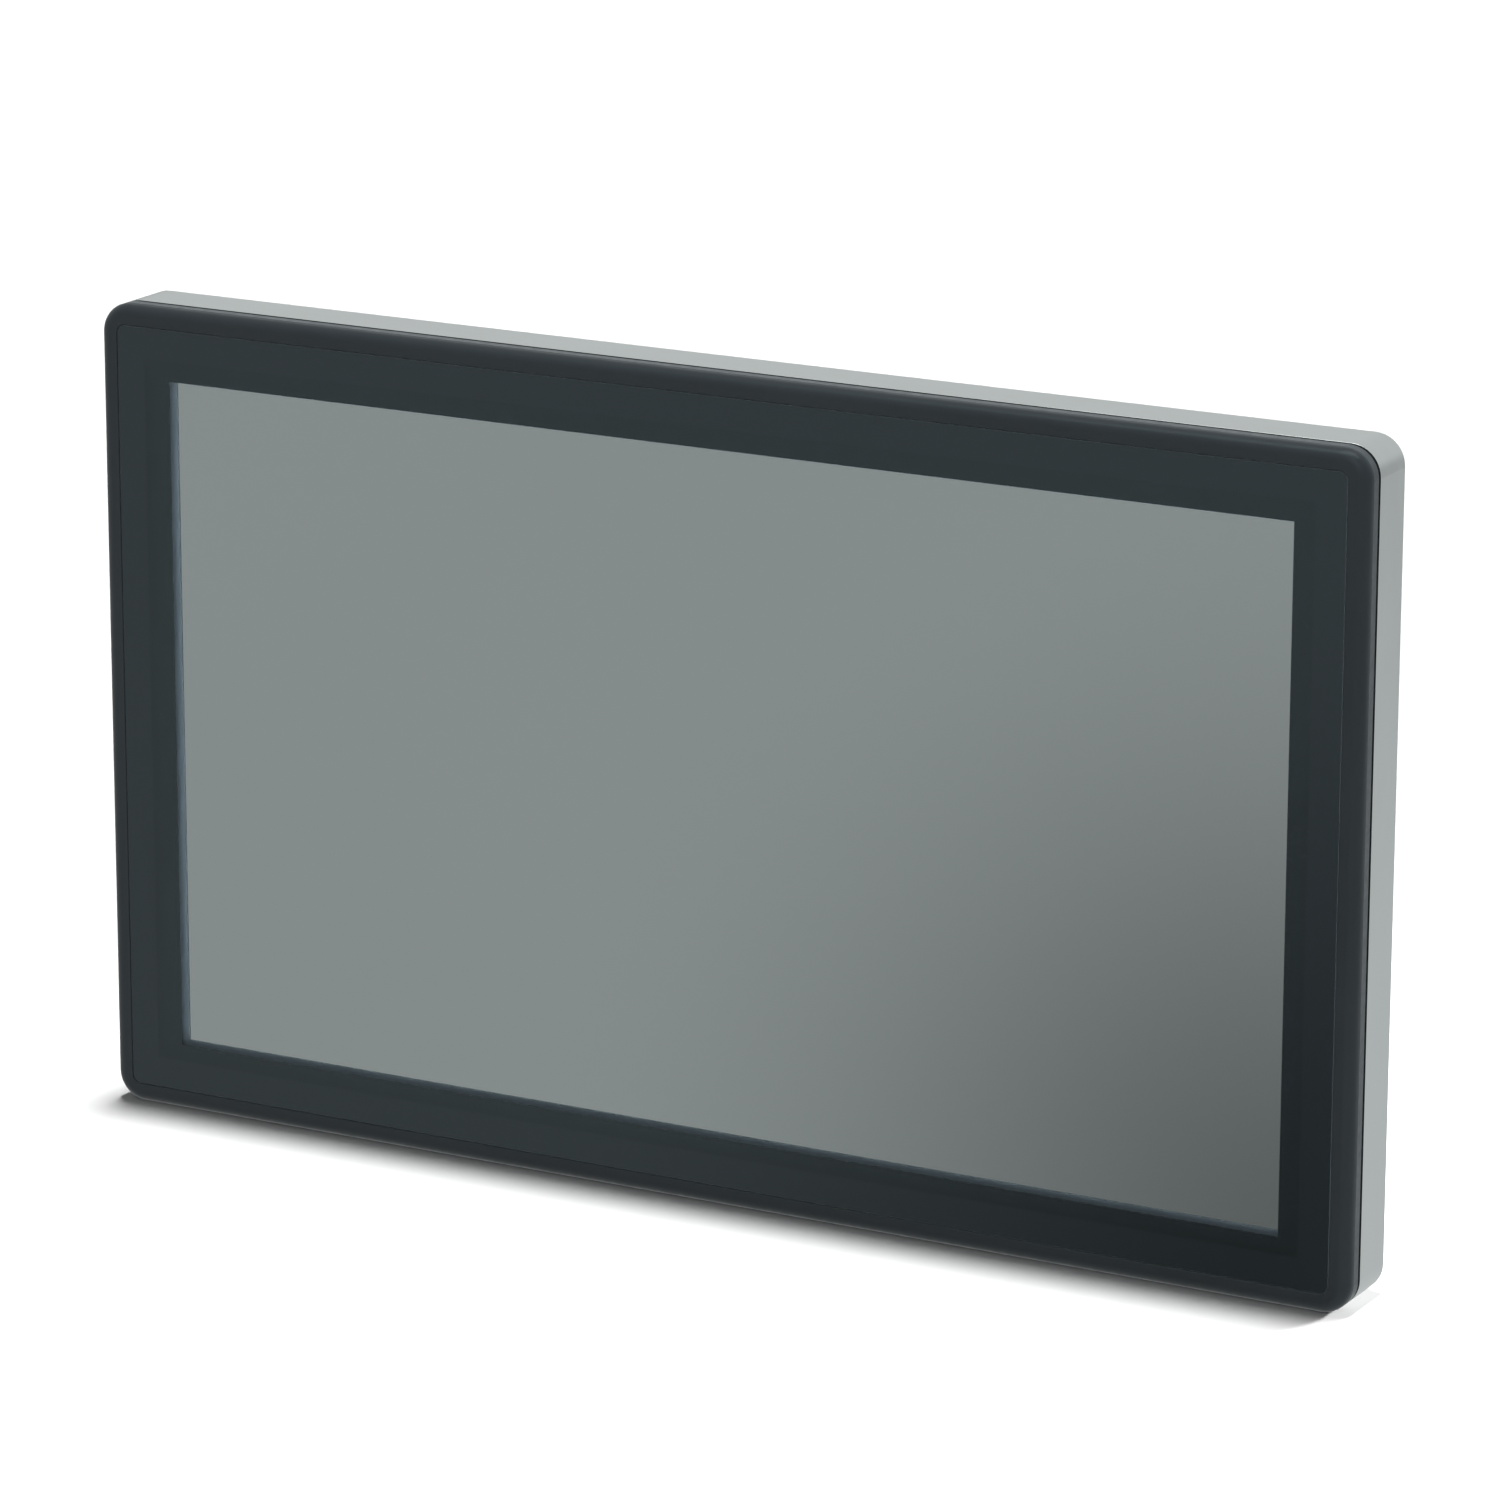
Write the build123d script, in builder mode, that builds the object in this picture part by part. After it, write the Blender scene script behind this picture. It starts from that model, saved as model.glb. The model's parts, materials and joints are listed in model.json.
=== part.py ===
"""An industrial touch panel with a 15.6 inch display, for an arm or wall bracket.

X runs to the right, Z up, and the screen faces -Y. The origin is at the middle of the bottom edge, halfway
through the depth. "Depth" below is the distance behind the front face.
"""
import os

from build123d import *

os.makedirs("parts", exist_ok=True)

# overall size
BEZEL_W, BEZEL_H, BEZEL_R = 388.9, 235.0, 8.5
TOTAL_DEPTH = 56.0
MID_Z = BEZEL_H / 2
DISPLAY_Z = MID_Z - 1.1  # the display sits a little low behind the glass

# layers at the front, as depths
GLASS_FRONT, GLASS_T = 0.1, 2.1
BEZEL_BACK = 3.45
MID_BACK = 6.9
HOUSING_FRONT, HOUSING_BACK = 8.0, 24.3
LCD_FRONT, LCD_BACK = 5.0, 12.1
GLUE_T, INK_T, SENSOR_T = 0.02, 0.08, 0.4

# rounded and broken edges at the front
BEZEL_ROUND, BEZEL_LIP, BEZEL_SEAM = 3.2, 0.12, 0.22
GLASS_EDGE, FRAME_SEAM = 0.12, 0.3
PAN_SEAM, PAN_ROUND = 0.06, 1.2

# cover glass and display
GLASS_W, GLASS_H, GLASS_R = 377.3, 223.4, 2.6
GLASS_GAP = 0.12
ACTIVE_W, ACTIVE_H = 344.2, 193.5
PRINT_MARGIN, PRINT_R = 0.8, 0.15
LCD_W, LCD_H, LCD_R = 362.0, 211.0, 1.2
LCD_SHEET = 0.25
MODULE_GAP, MODULE_R = 0.8, 1.5

# rear housing
WALL = 1.6
SEAL_INSET, SEAL_W = 0.9, 1.7
BOSS_R, BOSS_X = 4.0, 187.6
BOSS_Z = (22.0, 85.0, 150.0, 213.0)

# electronics box on the back
COVER_FRONT, COVER_BACK = 24.8, 50.0
COVER_W, COVER_H, COVER_R = 260.0, 164.0, 8.0
COVER_Z = 114.0
COVER_WALL = 1.5
FLANGE = 10.0
BOARD_FRONT, BOARD_T = 30.3, 1.6
BOARD_BACK = BOARD_FRONT + BOARD_T
BOARD_X, BOARD_W = -21.0, 210.0
BOARD_LOW, BOARD_H = 36.0, 130.0

# connector side, at the bottom of the box
COVER_LOW = COVER_Z - COVER_H / 2
IO_PLATE_T = 1.2
IO_Z = COVER_LOW + COVER_WALL
IO_MOUTH = IO_Z - 0.3
IO_DEPTH = 38.6
ETHERNET_X = (-96.0, -74.0)
USB_X = (-50.0, -32.0)
SERIAL_X, RESET_X, ROCKER_X, POWER_X, EARTH_X = 0.0, 35.0, 62.0, 95.0, 111.0

# bracket interface
VESA_PITCH, VESA_PLATE, VESA_HOLE_R = 100.0, 120.0, 2.0

# screws: thread sizes, and the radius of a clearance hole
M3, M3_CLEAR = 3.0, 1.7
M4, M4_CLEAR = 4.0, 2.2

UP = (Align.CENTER, Align.CENTER, Align.MIN)
DOWN = (Align.CENTER, Align.CENTER, Align.MAX)


def row_y(depth):
    """The Y of a point this far behind the front face."""
    return depth - TOTAL_DEPTH / 2


def facing(depth):
    """A plane across the panel at a depth: X across, Z up, and its normal towards the viewer."""
    return Plane.XZ.offset(-row_y(depth))


def block(low, high, mode=Mode.ADD):
    """A box from (x, depth, z) to (x, depth, z)."""
    size = [b - a for a, b in zip(low, high)]
    with Locations((low[0], row_y(low[1]), low[2])):
        Box(*size, align=(Align.MIN, Align.MIN, Align.MIN), mode=mode)


def ring_plate(outer, inner, front, back, inner_z=MID_Z):
    """A frame between two rounded rectangles, each given as width, height and corner radius."""
    with BuildPart() as plate:
        with BuildSketch(facing(front)):
            with Locations((0, MID_Z)):
                RectangleRounded(*outer)
            with Locations((0, inner_z)):
                RectangleRounded(*inner, mode=Mode.SUBTRACT)
        extrude(amount=front - back)
    return plate


def display_plate(width, height, front, back):
    """A flat sheet centred on the display."""
    with BuildPart() as plate:
        with BuildSketch(facing(front)):
            with Locations((0, DISPLAY_Z)):
                Rectangle(width, height)
        extrude(amount=front - back)
    return plate


def socket_screws(points, seat, size, length):
    """Hexagon socket screws put in from behind, with their heads on the face at depth seat."""
    head_h = size * 0.6
    with BuildPart() as screws:
        with Locations(facing(seat)):
            with Locations(*points):
                Cylinder(size * 0.9, head_h, align=DOWN)
                Cylinder(size / 2, length, align=UP)
        rims = screws.faces().group_by(Axis.Y)[-1].edges()
        chamfer(rims, size * 0.1)
        with BuildSketch(facing(seat + head_h)):
            with Locations(*points):
                RegularPolygon(size * 0.42, 6)
        extrude(amount=size * 0.35, mode=Mode.SUBTRACT)
    return screws


def flat_screws(points, face, size, length):
    """Countersunk screws put in from behind, flush with the face at this depth."""
    with BuildPart() as screws:
        with Locations(facing(face)):
            with Locations(*points):
                Cone(size * 0.95, size / 2, size * 0.45, align=UP)
                Cylinder(size / 2, length, align=UP)
                Box(size, size * 0.2, size * 0.3, align=UP, mode=Mode.SUBTRACT)
                Box(size * 0.2, size, size * 0.3, align=UP, mode=Mode.SUBTRACT)
    return screws


# ---- front frame ------------------------------------------------------------------------------------------

EDGE_MID = 2.9
SIDE_X, TOP_Z = BEZEL_W / 2 - EDGE_MID, BEZEL_H - EDGE_MID
BEZEL_SCREW_AT = [(x, z) for x in (-SIDE_X, SIDE_X) for z in (36.0, 117.5, 199.0)]
BEZEL_SCREW_AT += [(x, z) for x in (-125.0, 0.0, 125.0) for z in (EDGE_MID, TOP_Z)]
BEZEL_SCREW, BEZEL_SCREW_L = 2.0, 5.6

OUTLINE = (BEZEL_W, BEZEL_H, BEZEL_R)
glass_pocket = (GLASS_W + 2 * GLASS_GAP, GLASS_H + 2 * GLASS_GAP, GLASS_R + GLASS_GAP)

# rounded trim ring round the glass
with BuildPart() as front_bezel:
    with BuildSketch(facing(0)):
        with Locations((0, MID_Z)):
            RectangleRounded(*OUTLINE)
            RectangleRounded(*glass_pocket, mode=Mode.SUBTRACT)
    extrude(amount=-BEZEL_BACK)
    fillet(front_bezel.faces().sort_by(Axis.Y)[0].outer_wire().edges(), BEZEL_ROUND)
    chamfer(front_bezel.faces().sort_by(Axis.Y)[-1].outer_wire().edges(), BEZEL_SEAM)
    chamfer(front_bezel.faces().sort_by(Axis.Y)[0].inner_wires()[0].edges(), BEZEL_LIP)
    with Locations(facing(BEZEL_BACK)):
        with Locations(*BEZEL_SCREW_AT):
            Cylinder(BEZEL_SCREW / 2, BEZEL_SCREW_L - (MID_BACK - BEZEL_BACK), align=UP, mode=Mode.SUBTRACT)
front_bezel.part.label = "front_bezel"
export_step(front_bezel.part, "parts/front_bezel.step")

# cast frame that carries the glass and the display
BRACKET_Z = (52.0, 181.0)
BRACKET_SCREW_AT = [(x, z) for x in (-187.5, 187.5) for z in BRACKET_Z]
BOSS_AT = [(x, z) for x in (-BOSS_X, BOSS_X) for z in BOSS_Z]
BOSS_THREAD_L, BRACKET_THREAD_L = 11.0, 3.0
MODULE_W, MODULE_H = LCD_W + 2 * MODULE_GAP, LCD_H + 2 * MODULE_GAP
with BuildPart() as mid_frame:
    with BuildSketch(facing(BEZEL_BACK)):
        with Locations((0, MID_Z)):
            RectangleRounded(*OUTLINE)
        with Locations((0, DISPLAY_Z)):
            RectangleRounded(MODULE_W, MODULE_H, MODULE_R, mode=Mode.SUBTRACT)
    extrude(amount=BEZEL_BACK - MID_BACK)
    chamfer(mid_frame.faces().sort_by(Axis.Y)[0].outer_wire().edges(), FRAME_SEAM)
    chamfer(mid_frame.faces().sort_by(Axis.Y)[-1].outer_wire().edges(), FRAME_SEAM)
    with Locations(facing(MID_BACK)):
        with Locations(*BOSS_AT):
            Cylinder(BOSS_R, HOUSING_BACK - WALL - MID_BACK, align=DOWN)
    with Locations(facing(HOUSING_BACK - WALL)):
        with Locations(*BOSS_AT):
            Cylinder(M4 / 2, BOSS_THREAD_L, align=UP, mode=Mode.SUBTRACT)
    with Locations(facing(MID_BACK)):
        with Locations(*BRACKET_SCREW_AT):
            Cylinder(M3 / 2, BRACKET_THREAD_L, align=UP, mode=Mode.SUBTRACT)
        with Locations(*BEZEL_SCREW_AT):
            Cylinder(BEZEL_SCREW / 2, MID_BACK - BEZEL_BACK, align=UP, mode=Mode.SUBTRACT)
            Cone(BEZEL_SCREW * 0.95, BEZEL_SCREW / 2, BEZEL_SCREW * 0.45, align=UP, mode=Mode.SUBTRACT)
mid_frame.part.label = "mid_frame"
export_step(mid_frame.part, "parts/mid_frame.step")

bezel_screws = flat_screws(BEZEL_SCREW_AT, MID_BACK, BEZEL_SCREW, BEZEL_SCREW_L)
bezel_screws.part.label = "bezel_screws"
export_step(bezel_screws.part, "parts/bezel_screws.step")

# ---- glass, ink, touch sensor and seals -------------------------------------------------------------------

GLASS_BACK = GLASS_FRONT + GLASS_T
INK_FRONT = GLASS_BACK + GLUE_T
INK_BACK = INK_FRONT + INK_T
SENSOR_BACK = INK_BACK + SENSOR_T
SENSOR_W, SENSOR_H = LCD_W, LCD_H + 0.8

with BuildPart() as cover_glass:
    with BuildSketch(facing(GLASS_FRONT)):
        with Locations((0, MID_Z)):
            RectangleRounded(GLASS_W, GLASS_H, GLASS_R)
    extrude(amount=-GLASS_T)
    chamfer(cover_glass.faces().sort_by(Axis.Y)[0].edges(), GLASS_EDGE)
cover_glass.part.label = "cover_glass"
export_step(cover_glass.part, "parts/cover_glass.step")

window = (ACTIVE_W + 2 * PRINT_MARGIN, ACTIVE_H + 2 * PRINT_MARGIN, PRINT_R)
printed_border = ring_plate((GLASS_W, GLASS_H, GLASS_R), window, INK_FRONT, INK_BACK, DISPLAY_Z)
printed_border.part.label = "printed_border"
export_step(printed_border.part, "parts/printed_border.step")

TAPE_INSET = 0.4
tape_hole = (MODULE_W, MODULE_H, MODULE_R)
tape_outline = (GLASS_W - 2 * TAPE_INSET, GLASS_H - 2 * TAPE_INSET, GLASS_R)
glass_tape = ring_plate(tape_outline, tape_hole, INK_BACK, BEZEL_BACK, DISPLAY_Z)
glass_tape.part.label = "glass_tape"
export_step(glass_tape.part, "parts/glass_tape.step")

touch_sensor = display_plate(SENSOR_W, SENSOR_H, INK_BACK, SENSOR_BACK)
touch_sensor.part.label = "touch_sensor"
export_step(touch_sensor.part, "parts/touch_sensor.step")

CELL_MARGIN = 4.0  # glass of the cell round its active area
with BuildPart() as lcd_gasket:
    with BuildSketch(facing(SENSOR_BACK)):
        with Locations((0, DISPLAY_Z)):
            Rectangle(LCD_W - 1, LCD_H - 1)
            Rectangle(ACTIVE_W + 2 * CELL_MARGIN, ACTIVE_H + 2 * CELL_MARGIN, mode=Mode.SUBTRACT)
    extrude(amount=SENSOR_BACK - LCD_FRONT)
lcd_gasket.part.label = "lcd_gasket"
export_step(lcd_gasket.part, "parts/lcd_gasket.step")

# ---- display module ---------------------------------------------------------------------------------------

CELL_BACK, FILM_BACK, GUIDE_BACK, REFLECTOR_BACK = 6.9, 7.8, 10.8, 11.1
CELL_W, CELL_H = ACTIVE_W + 2 * CELL_MARGIN, ACTIVE_H + 2 * CELL_MARGIN
GUIDE_W, GUIDE_H = ACTIVE_W + 6, ACTIVE_H + 6
TRAY_GAP, TRAY_WALL, TRAY_SLOT = 0.1, 0.8, (70.0, 8.0, 0.4)
TRAY_W, TRAY_H = LCD_W - 2 * (LCD_SHEET + TRAY_GAP), LCD_H - 2 * (LCD_SHEET + TRAY_GAP)

# pressed front frame: its margin shows between the ink and the picture
with BuildPart() as lcd_front_frame:
    with BuildSketch(facing(LCD_FRONT)):
        with Locations((0, DISPLAY_Z)):
            RectangleRounded(LCD_W, LCD_H, LCD_R)
    extrude(amount=LCD_FRONT - LCD_BACK)
    with BuildSketch(facing(LCD_FRONT + LCD_SHEET)):
        with Locations((0, DISPLAY_Z)):
            Rectangle(LCD_W - 2 * LCD_SHEET, LCD_H - 2 * LCD_SHEET)
    extrude(amount=LCD_FRONT + LCD_SHEET - LCD_BACK, mode=Mode.SUBTRACT)
    with BuildSketch(facing(LCD_FRONT)):
        with Locations((0, DISPLAY_Z)):
            Rectangle(ACTIVE_W, ACTIVE_H)
    extrude(amount=-LCD_SHEET, mode=Mode.SUBTRACT)
lcd_front_frame.part.label = "lcd_front_frame"
export_step(lcd_front_frame.part, "parts/lcd_front_frame.step")

lcd_cell = display_plate(CELL_W, CELL_H, LCD_FRONT + LCD_SHEET, CELL_BACK)
lcd_cell.part.label = "lcd_cell"
export_step(lcd_cell.part, "parts/lcd_cell.step")

optical_films = display_plate(GUIDE_W, GUIDE_H, CELL_BACK, FILM_BACK)
optical_films.part.label = "optical_films"
export_step(optical_films.part, "parts/optical_films.step")

light_guide = display_plate(GUIDE_W, GUIDE_H, FILM_BACK, GUIDE_BACK)
light_guide.part.label = "light_guide"
export_step(light_guide.part, "parts/light_guide.step")

reflector_sheet = display_plate(GUIDE_W, GUIDE_H, GUIDE_BACK, REFLECTOR_BACK)
reflector_sheet.part.label = "reflector_sheet"
export_step(reflector_sheet.part, "parts/reflector_sheet.step")

# strip of lamps along the lower edge of the light guide
GUIDE_LOW = DISPLAY_Z - GUIDE_H / 2
LAMP_PITCH, LAMP_COUNT, LAMP_SIZE = 8.0, 42, (3.6, 1.6, 0.8)
STRIP_T = 1.0
with BuildPart() as led_strip:
    block((-GUIDE_W / 2, FILM_BACK, GUIDE_LOW - 2 * STRIP_T), (GUIDE_W / 2, GUIDE_BACK, GUIDE_LOW - STRIP_T))
    with Locations((0, row_y((FILM_BACK + GUIDE_BACK) / 2), GUIDE_LOW - STRIP_T)):
        with GridLocations(LAMP_PITCH, 1, LAMP_COUNT, 1):
            Box(*LAMP_SIZE, align=UP)
led_strip.part.label = "led_strip"
export_step(led_strip.part, "parts/led_strip.step")

# tray that closes the module from behind
with BuildPart() as lcd_tray:
    with BuildSketch(facing(CELL_BACK)):
        with Locations((0, DISPLAY_Z)):
            Rectangle(TRAY_W, TRAY_H)
    extrude(amount=CELL_BACK - LCD_BACK)
    with BuildSketch(facing(CELL_BACK)):
        with Locations((0, DISPLAY_Z)):
            Rectangle(TRAY_W - 2 * TRAY_WALL, TRAY_H - 2 * TRAY_WALL)
    extrude(amount=CELL_BACK - REFLECTOR_BACK, mode=Mode.SUBTRACT)
    with BuildSketch(facing(LCD_BACK)):
        with Locations((0, DISPLAY_Z)):
            with GridLocations(110, 70, 3, 2):
                SlotOverall(*TRAY_SLOT[:2])
    extrude(amount=TRAY_SLOT[2], mode=Mode.SUBTRACT)
lcd_tray.part.label = "lcd_tray"
export_step(lcd_tray.part, "parts/lcd_tray.step")

# timing board on the back of the tray, with its two chips and the socket of the display cable
THIN_BOARD_T = 1.2
THIN_BOARD_BACK = LCD_BACK + THIN_BOARD_T
SOCKET_BACK = THIN_BOARD_BACK + 1.4
with BuildPart() as lcd_driver_board:
    block((-160, LCD_BACK, 18), (160, THIN_BOARD_BACK, 34))
    block((-12, THIN_BOARD_BACK, 20), (2, THIN_BOARD_BACK + 1.2, 32))
    block((-90, THIN_BOARD_BACK, 21), (-80, THIN_BOARD_BACK + 1.0, 31))
    block((84, THIN_BOARD_BACK, 21), (112, SOCKET_BACK, 27))
lcd_driver_board.part.label = "lcd_driver_board"
export_step(lcd_driver_board.part, "parts/lcd_driver_board.step")

# sheet clips that hold the module in the cast frame
BRACKET_W, BRACKET_T = 24.0, 1.0
BRACKET_LIP_X, BRACKET_STEP_X, BRACKET_END_X = 172.0, 181.2, 191.5
BRACKET_RISE_X = BRACKET_STEP_X + 1.2 * BRACKET_T
BRACKET_BACK = MID_BACK + BRACKET_T
with BuildPart() as lcd_brackets:
    for side in (-1, 1):
        for z in BRACKET_Z:
            with BuildSketch(Plane.XY.offset(z - BRACKET_W / 2)):
                with BuildLine():
                    Polyline(
                        (side * BRACKET_LIP_X, row_y(LCD_BACK)),
                        (side * BRACKET_STEP_X, row_y(LCD_BACK)),
                        (side * BRACKET_STEP_X, row_y(BRACKET_BACK)),
                        (side * BRACKET_RISE_X, row_y(MID_BACK)),
                        (side * BRACKET_END_X, row_y(MID_BACK)),
                        (side * BRACKET_END_X, row_y(BRACKET_BACK)),
                        (side * BRACKET_RISE_X, row_y(BRACKET_BACK)),
                        (side * BRACKET_RISE_X, row_y(LCD_BACK + BRACKET_T)),
                        (side * BRACKET_LIP_X, row_y(LCD_BACK + BRACKET_T)),
                        close=True,
                    )
                make_face()
            extrude(amount=BRACKET_W)
    with Locations(facing(BRACKET_BACK)):
        with Locations(*BRACKET_SCREW_AT):
            Cylinder(M3_CLEAR, BRACKET_T, align=UP, mode=Mode.SUBTRACT)
lcd_brackets.part.label = "lcd_brackets"
export_step(lcd_brackets.part, "parts/lcd_brackets.step")

bracket_screws = socket_screws(BRACKET_SCREW_AT, BRACKET_BACK, M3, 3.8)
bracket_screws.part.label = "bracket_screws"
export_step(bracket_screws.part, "parts/bracket_screws.step")

# touch controller, and the flexible tail that reaches it round the top of the module
TAIL_T, TAIL_X = 0.3, 12.0
TAIL_Z = DISPLAY_Z + SENSOR_H / 2 - TAIL_T
with BuildPart() as touch_board:
    block((-30, LCD_BACK, 178), (30, THIN_BOARD_BACK, 206))
    block((-8, THIN_BOARD_BACK, 183), (4, THIN_BOARD_BACK + 1.2, 195))
    block((-14, THIN_BOARD_BACK, 200), (14, SOCKET_BACK, 205))
touch_board.part.label = "touch_board"
export_step(touch_board.part, "parts/touch_board.step")

with BuildPart() as touch_tail:
    block((-TAIL_X, SENSOR_BACK, TAIL_Z), (TAIL_X, SOCKET_BACK + TAIL_T, TAIL_Z + TAIL_T))
    block((-TAIL_X, SOCKET_BACK, 200), (TAIL_X, SOCKET_BACK + TAIL_T, TAIL_Z + TAIL_T))
touch_tail.part.label = "touch_tail"
export_step(touch_tail.part, "parts/touch_tail.step")

# ---- rear housing -----------------------------------------------------------------------------------------

CABLE_SLOT = (84.0, 112.0, 168.0, 182.0)  # x from, x to, z from, z to
STANDOFF_AT = [(x, z) for x in (-120, -20, 47) for z in (48, 160)]
COVER_SCREW_X = COVER_W / 2 + FLANGE / 2
COVER_SCREW_Z = COVER_H / 2 + FLANGE / 2
COVER_SCREW_AT = [(x, COVER_Z + z) for x in (-COVER_SCREW_X, COVER_SCREW_X) for z in (-70, 0, 70)]
COVER_SCREW_AT += [(x, COVER_Z + z) for x in (-80, 0, 80) for z in (-COVER_SCREW_Z, COVER_SCREW_Z)]

seal_outer = (BEZEL_W - 2 * SEAL_INSET, BEZEL_H - 2 * SEAL_INSET, BEZEL_R - SEAL_INSET)
seal_edge = SEAL_INSET + SEAL_W
seal_inner = (BEZEL_W - 2 * seal_edge, BEZEL_H - 2 * seal_edge, BEZEL_R - seal_edge)
housing_gasket = ring_plate(seal_outer, seal_inner, MID_BACK, HOUSING_FRONT)
housing_gasket.part.label = "housing_gasket"
export_step(housing_gasket.part, "parts/housing_gasket.step")

# drawn metal pan, flush with the front frame
with BuildPart() as rear_housing:
    with BuildSketch(facing(HOUSING_FRONT)):
        with Locations((0, MID_Z)):
            RectangleRounded(*OUTLINE)
    extrude(amount=HOUSING_FRONT - HOUSING_BACK)
    with BuildSketch(facing(HOUSING_FRONT)):
        with Locations((0, MID_Z)):
            RectangleRounded(BEZEL_W - 2 * WALL, BEZEL_H - 2 * WALL, BEZEL_R - WALL)
    extrude(amount=HOUSING_FRONT - (HOUSING_BACK - WALL), mode=Mode.SUBTRACT)
    fillet(rear_housing.faces().sort_by(Axis.Y)[-1].outer_wire().edges(), PAN_ROUND)
    chamfer(rear_housing.faces().sort_by(Axis.Y)[0].outer_wire().edges(), PAN_SEAM)
    with Locations(facing(HOUSING_BACK)):
        with Locations(*BOSS_AT):
            Cylinder(M4_CLEAR, WALL, align=UP, mode=Mode.SUBTRACT)
        with Locations(*(STANDOFF_AT + COVER_SCREW_AT)):
            Cylinder(M3 / 2, WALL, align=UP, mode=Mode.SUBTRACT)
    slot_x0, slot_x1, slot_z0, slot_z1 = CABLE_SLOT
    block((slot_x0, HOUSING_BACK - WALL, slot_z0), (slot_x1, HOUSING_BACK, slot_z1), mode=Mode.SUBTRACT)
rear_housing.part.label = "rear_housing"
export_step(rear_housing.part, "parts/rear_housing.step")

housing_screws = socket_screws(BOSS_AT, HOUSING_BACK, M4, 10.0)
housing_screws.part.label = "housing_screws"
export_step(housing_screws.part, "parts/housing_screws.step")

# flat cable from the timing board, through the slot, to the main board
CABLE_X, CABLE_T, CABLE_TOP = (86.0, 110.0), 0.5, 172.5
CABLE_BACK = BOARD_BACK + 1.5
with BuildPart() as display_cable:
    block((CABLE_X[0], SOCKET_BACK, 22), (CABLE_X[1], SOCKET_BACK + CABLE_T, CABLE_TOP - CABLE_T))
    block((CABLE_X[0], SOCKET_BACK, CABLE_TOP - CABLE_T), (CABLE_X[1], CABLE_BACK, CABLE_TOP))
    block((70, CABLE_BACK - CABLE_T, 146), (CABLE_X[1], CABLE_BACK, CABLE_TOP))
display_cable.part.label = "display_cable"
export_step(display_cable.part, "parts/display_cable.step")

# ---- main board -------------------------------------------------------------------------------------------

BOARD_X0, BOARD_X1 = BOARD_X - BOARD_W / 2, BOARD_X + BOARD_W / 2
CPU_X, CPU_Z = -92.0, 88.0
MEMORY_X = (-58.0, 10.0)
BATTERY_AT, BATTERY_R, BATTERY_T = (52.0, 120.0), 10.0, 3.2
HOLDER_FLOOR = BOARD_BACK + 1.0

STANDOFF_R, STANDOFF_THREAD_L = 3.1, 4.5
with BuildPart() as standoffs:
    with BuildSketch(facing(HOUSING_BACK)):
        with Locations(*STANDOFF_AT):
            RegularPolygon(STANDOFF_R, 6)
    extrude(amount=HOUSING_BACK - BOARD_FRONT)
    with Locations(facing(HOUSING_BACK)):
        with Locations(*STANDOFF_AT):
            Cylinder(M3 / 2, WALL, align=UP)
    with Locations(facing(BOARD_FRONT)):
        with Locations(*STANDOFF_AT):
            Cylinder(M3 / 2, STANDOFF_THREAD_L, align=UP, mode=Mode.SUBTRACT)
standoffs.part.label = "standoffs"
export_step(standoffs.part, "parts/standoffs.step")

# populated board, with its soldered memory socket and battery holder
with BuildPart() as main_board:
    block((BOARD_X0, BOARD_FRONT, BOARD_LOW), (BOARD_X1, BOARD_BACK, BOARD_LOW + BOARD_H))
    block((-62, BOARD_BACK, 60), (-44, BOARD_BACK + 1.2, 78))
    block((14, BOARD_BACK, 100), (26, BOARD_BACK + 1.0, 112))
    block((34, BOARD_BACK, 64), (50, BOARD_BACK + 1.4, 80))
    block((64, BOARD_BACK, 144), (82, BOARD_BACK + 1.0, 150))
    with Locations(facing(BOARD_BACK)):
        with Locations(*STANDOFF_AT):
            Cylinder(1.6, BOARD_T, align=UP, mode=Mode.SUBTRACT)
        with Locations((-20, 74), (-8, 74), (4, 74)):
            Cylinder(4.0, 10.0, align=DOWN)
        with Locations(BATTERY_AT):
            Cylinder(BATTERY_R + 2, BATTERY_T + 1.4, align=DOWN)
    with Locations(facing(HOLDER_FLOOR)):
        with Locations(BATTERY_AT):
            Cylinder(BATTERY_R + 0.2, BATTERY_T + 0.8, align=DOWN, mode=Mode.SUBTRACT)
    block((MEMORY_X[0] - 2, BOARD_BACK, 120), (MEMORY_X[1] + 2, BOARD_BACK + 5, 127))
    block((MEMORY_X[0], BOARD_BACK + 2.2, 123), (MEMORY_X[1], BOARD_BACK + 3.4, 127), mode=Mode.SUBTRACT)
main_board.part.label = "main_board"
export_step(main_board.part, "parts/main_board.step")

board_screws = socket_screws(STANDOFF_AT, BOARD_BACK, M3, 5.5)
board_screws.part.label = "board_screws"
export_step(board_screws.part, "parts/board_screws.step")

with BuildPart() as processor:
    block((CPU_X - 14, BOARD_BACK, CPU_Z - 14), (CPU_X + 14, BOARD_BACK + 1.2, CPU_Z + 14))
    block((CPU_X - 6, BOARD_BACK + 1.2, CPU_Z - 5), (CPU_X + 6, BOARD_BACK + 2.0, CPU_Z + 5))
processor.part.label = "processor"
export_step(processor.part, "parts/processor.step")

with BuildPart() as thermal_pad:
    block((CPU_X - 8, BOARD_BACK + 2, CPU_Z - 8), (CPU_X + 8, BOARD_BACK + 3, CPU_Z + 8))
thermal_pad.part.label = "thermal_pad"
export_step(thermal_pad.part, "parts/thermal_pad.step")

with BuildPart() as heat_block:
    block((CPU_X - 18, BOARD_BACK + 3, CPU_Z - 18), (CPU_X + 18, COVER_BACK - COVER_WALL, CPU_Z + 18))
    chamfer(heat_block.edges().filter_by(Axis.Y), 1.0)
heat_block.part.label = "heat_block"
export_step(heat_block.part, "parts/heat_block.step")

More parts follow.
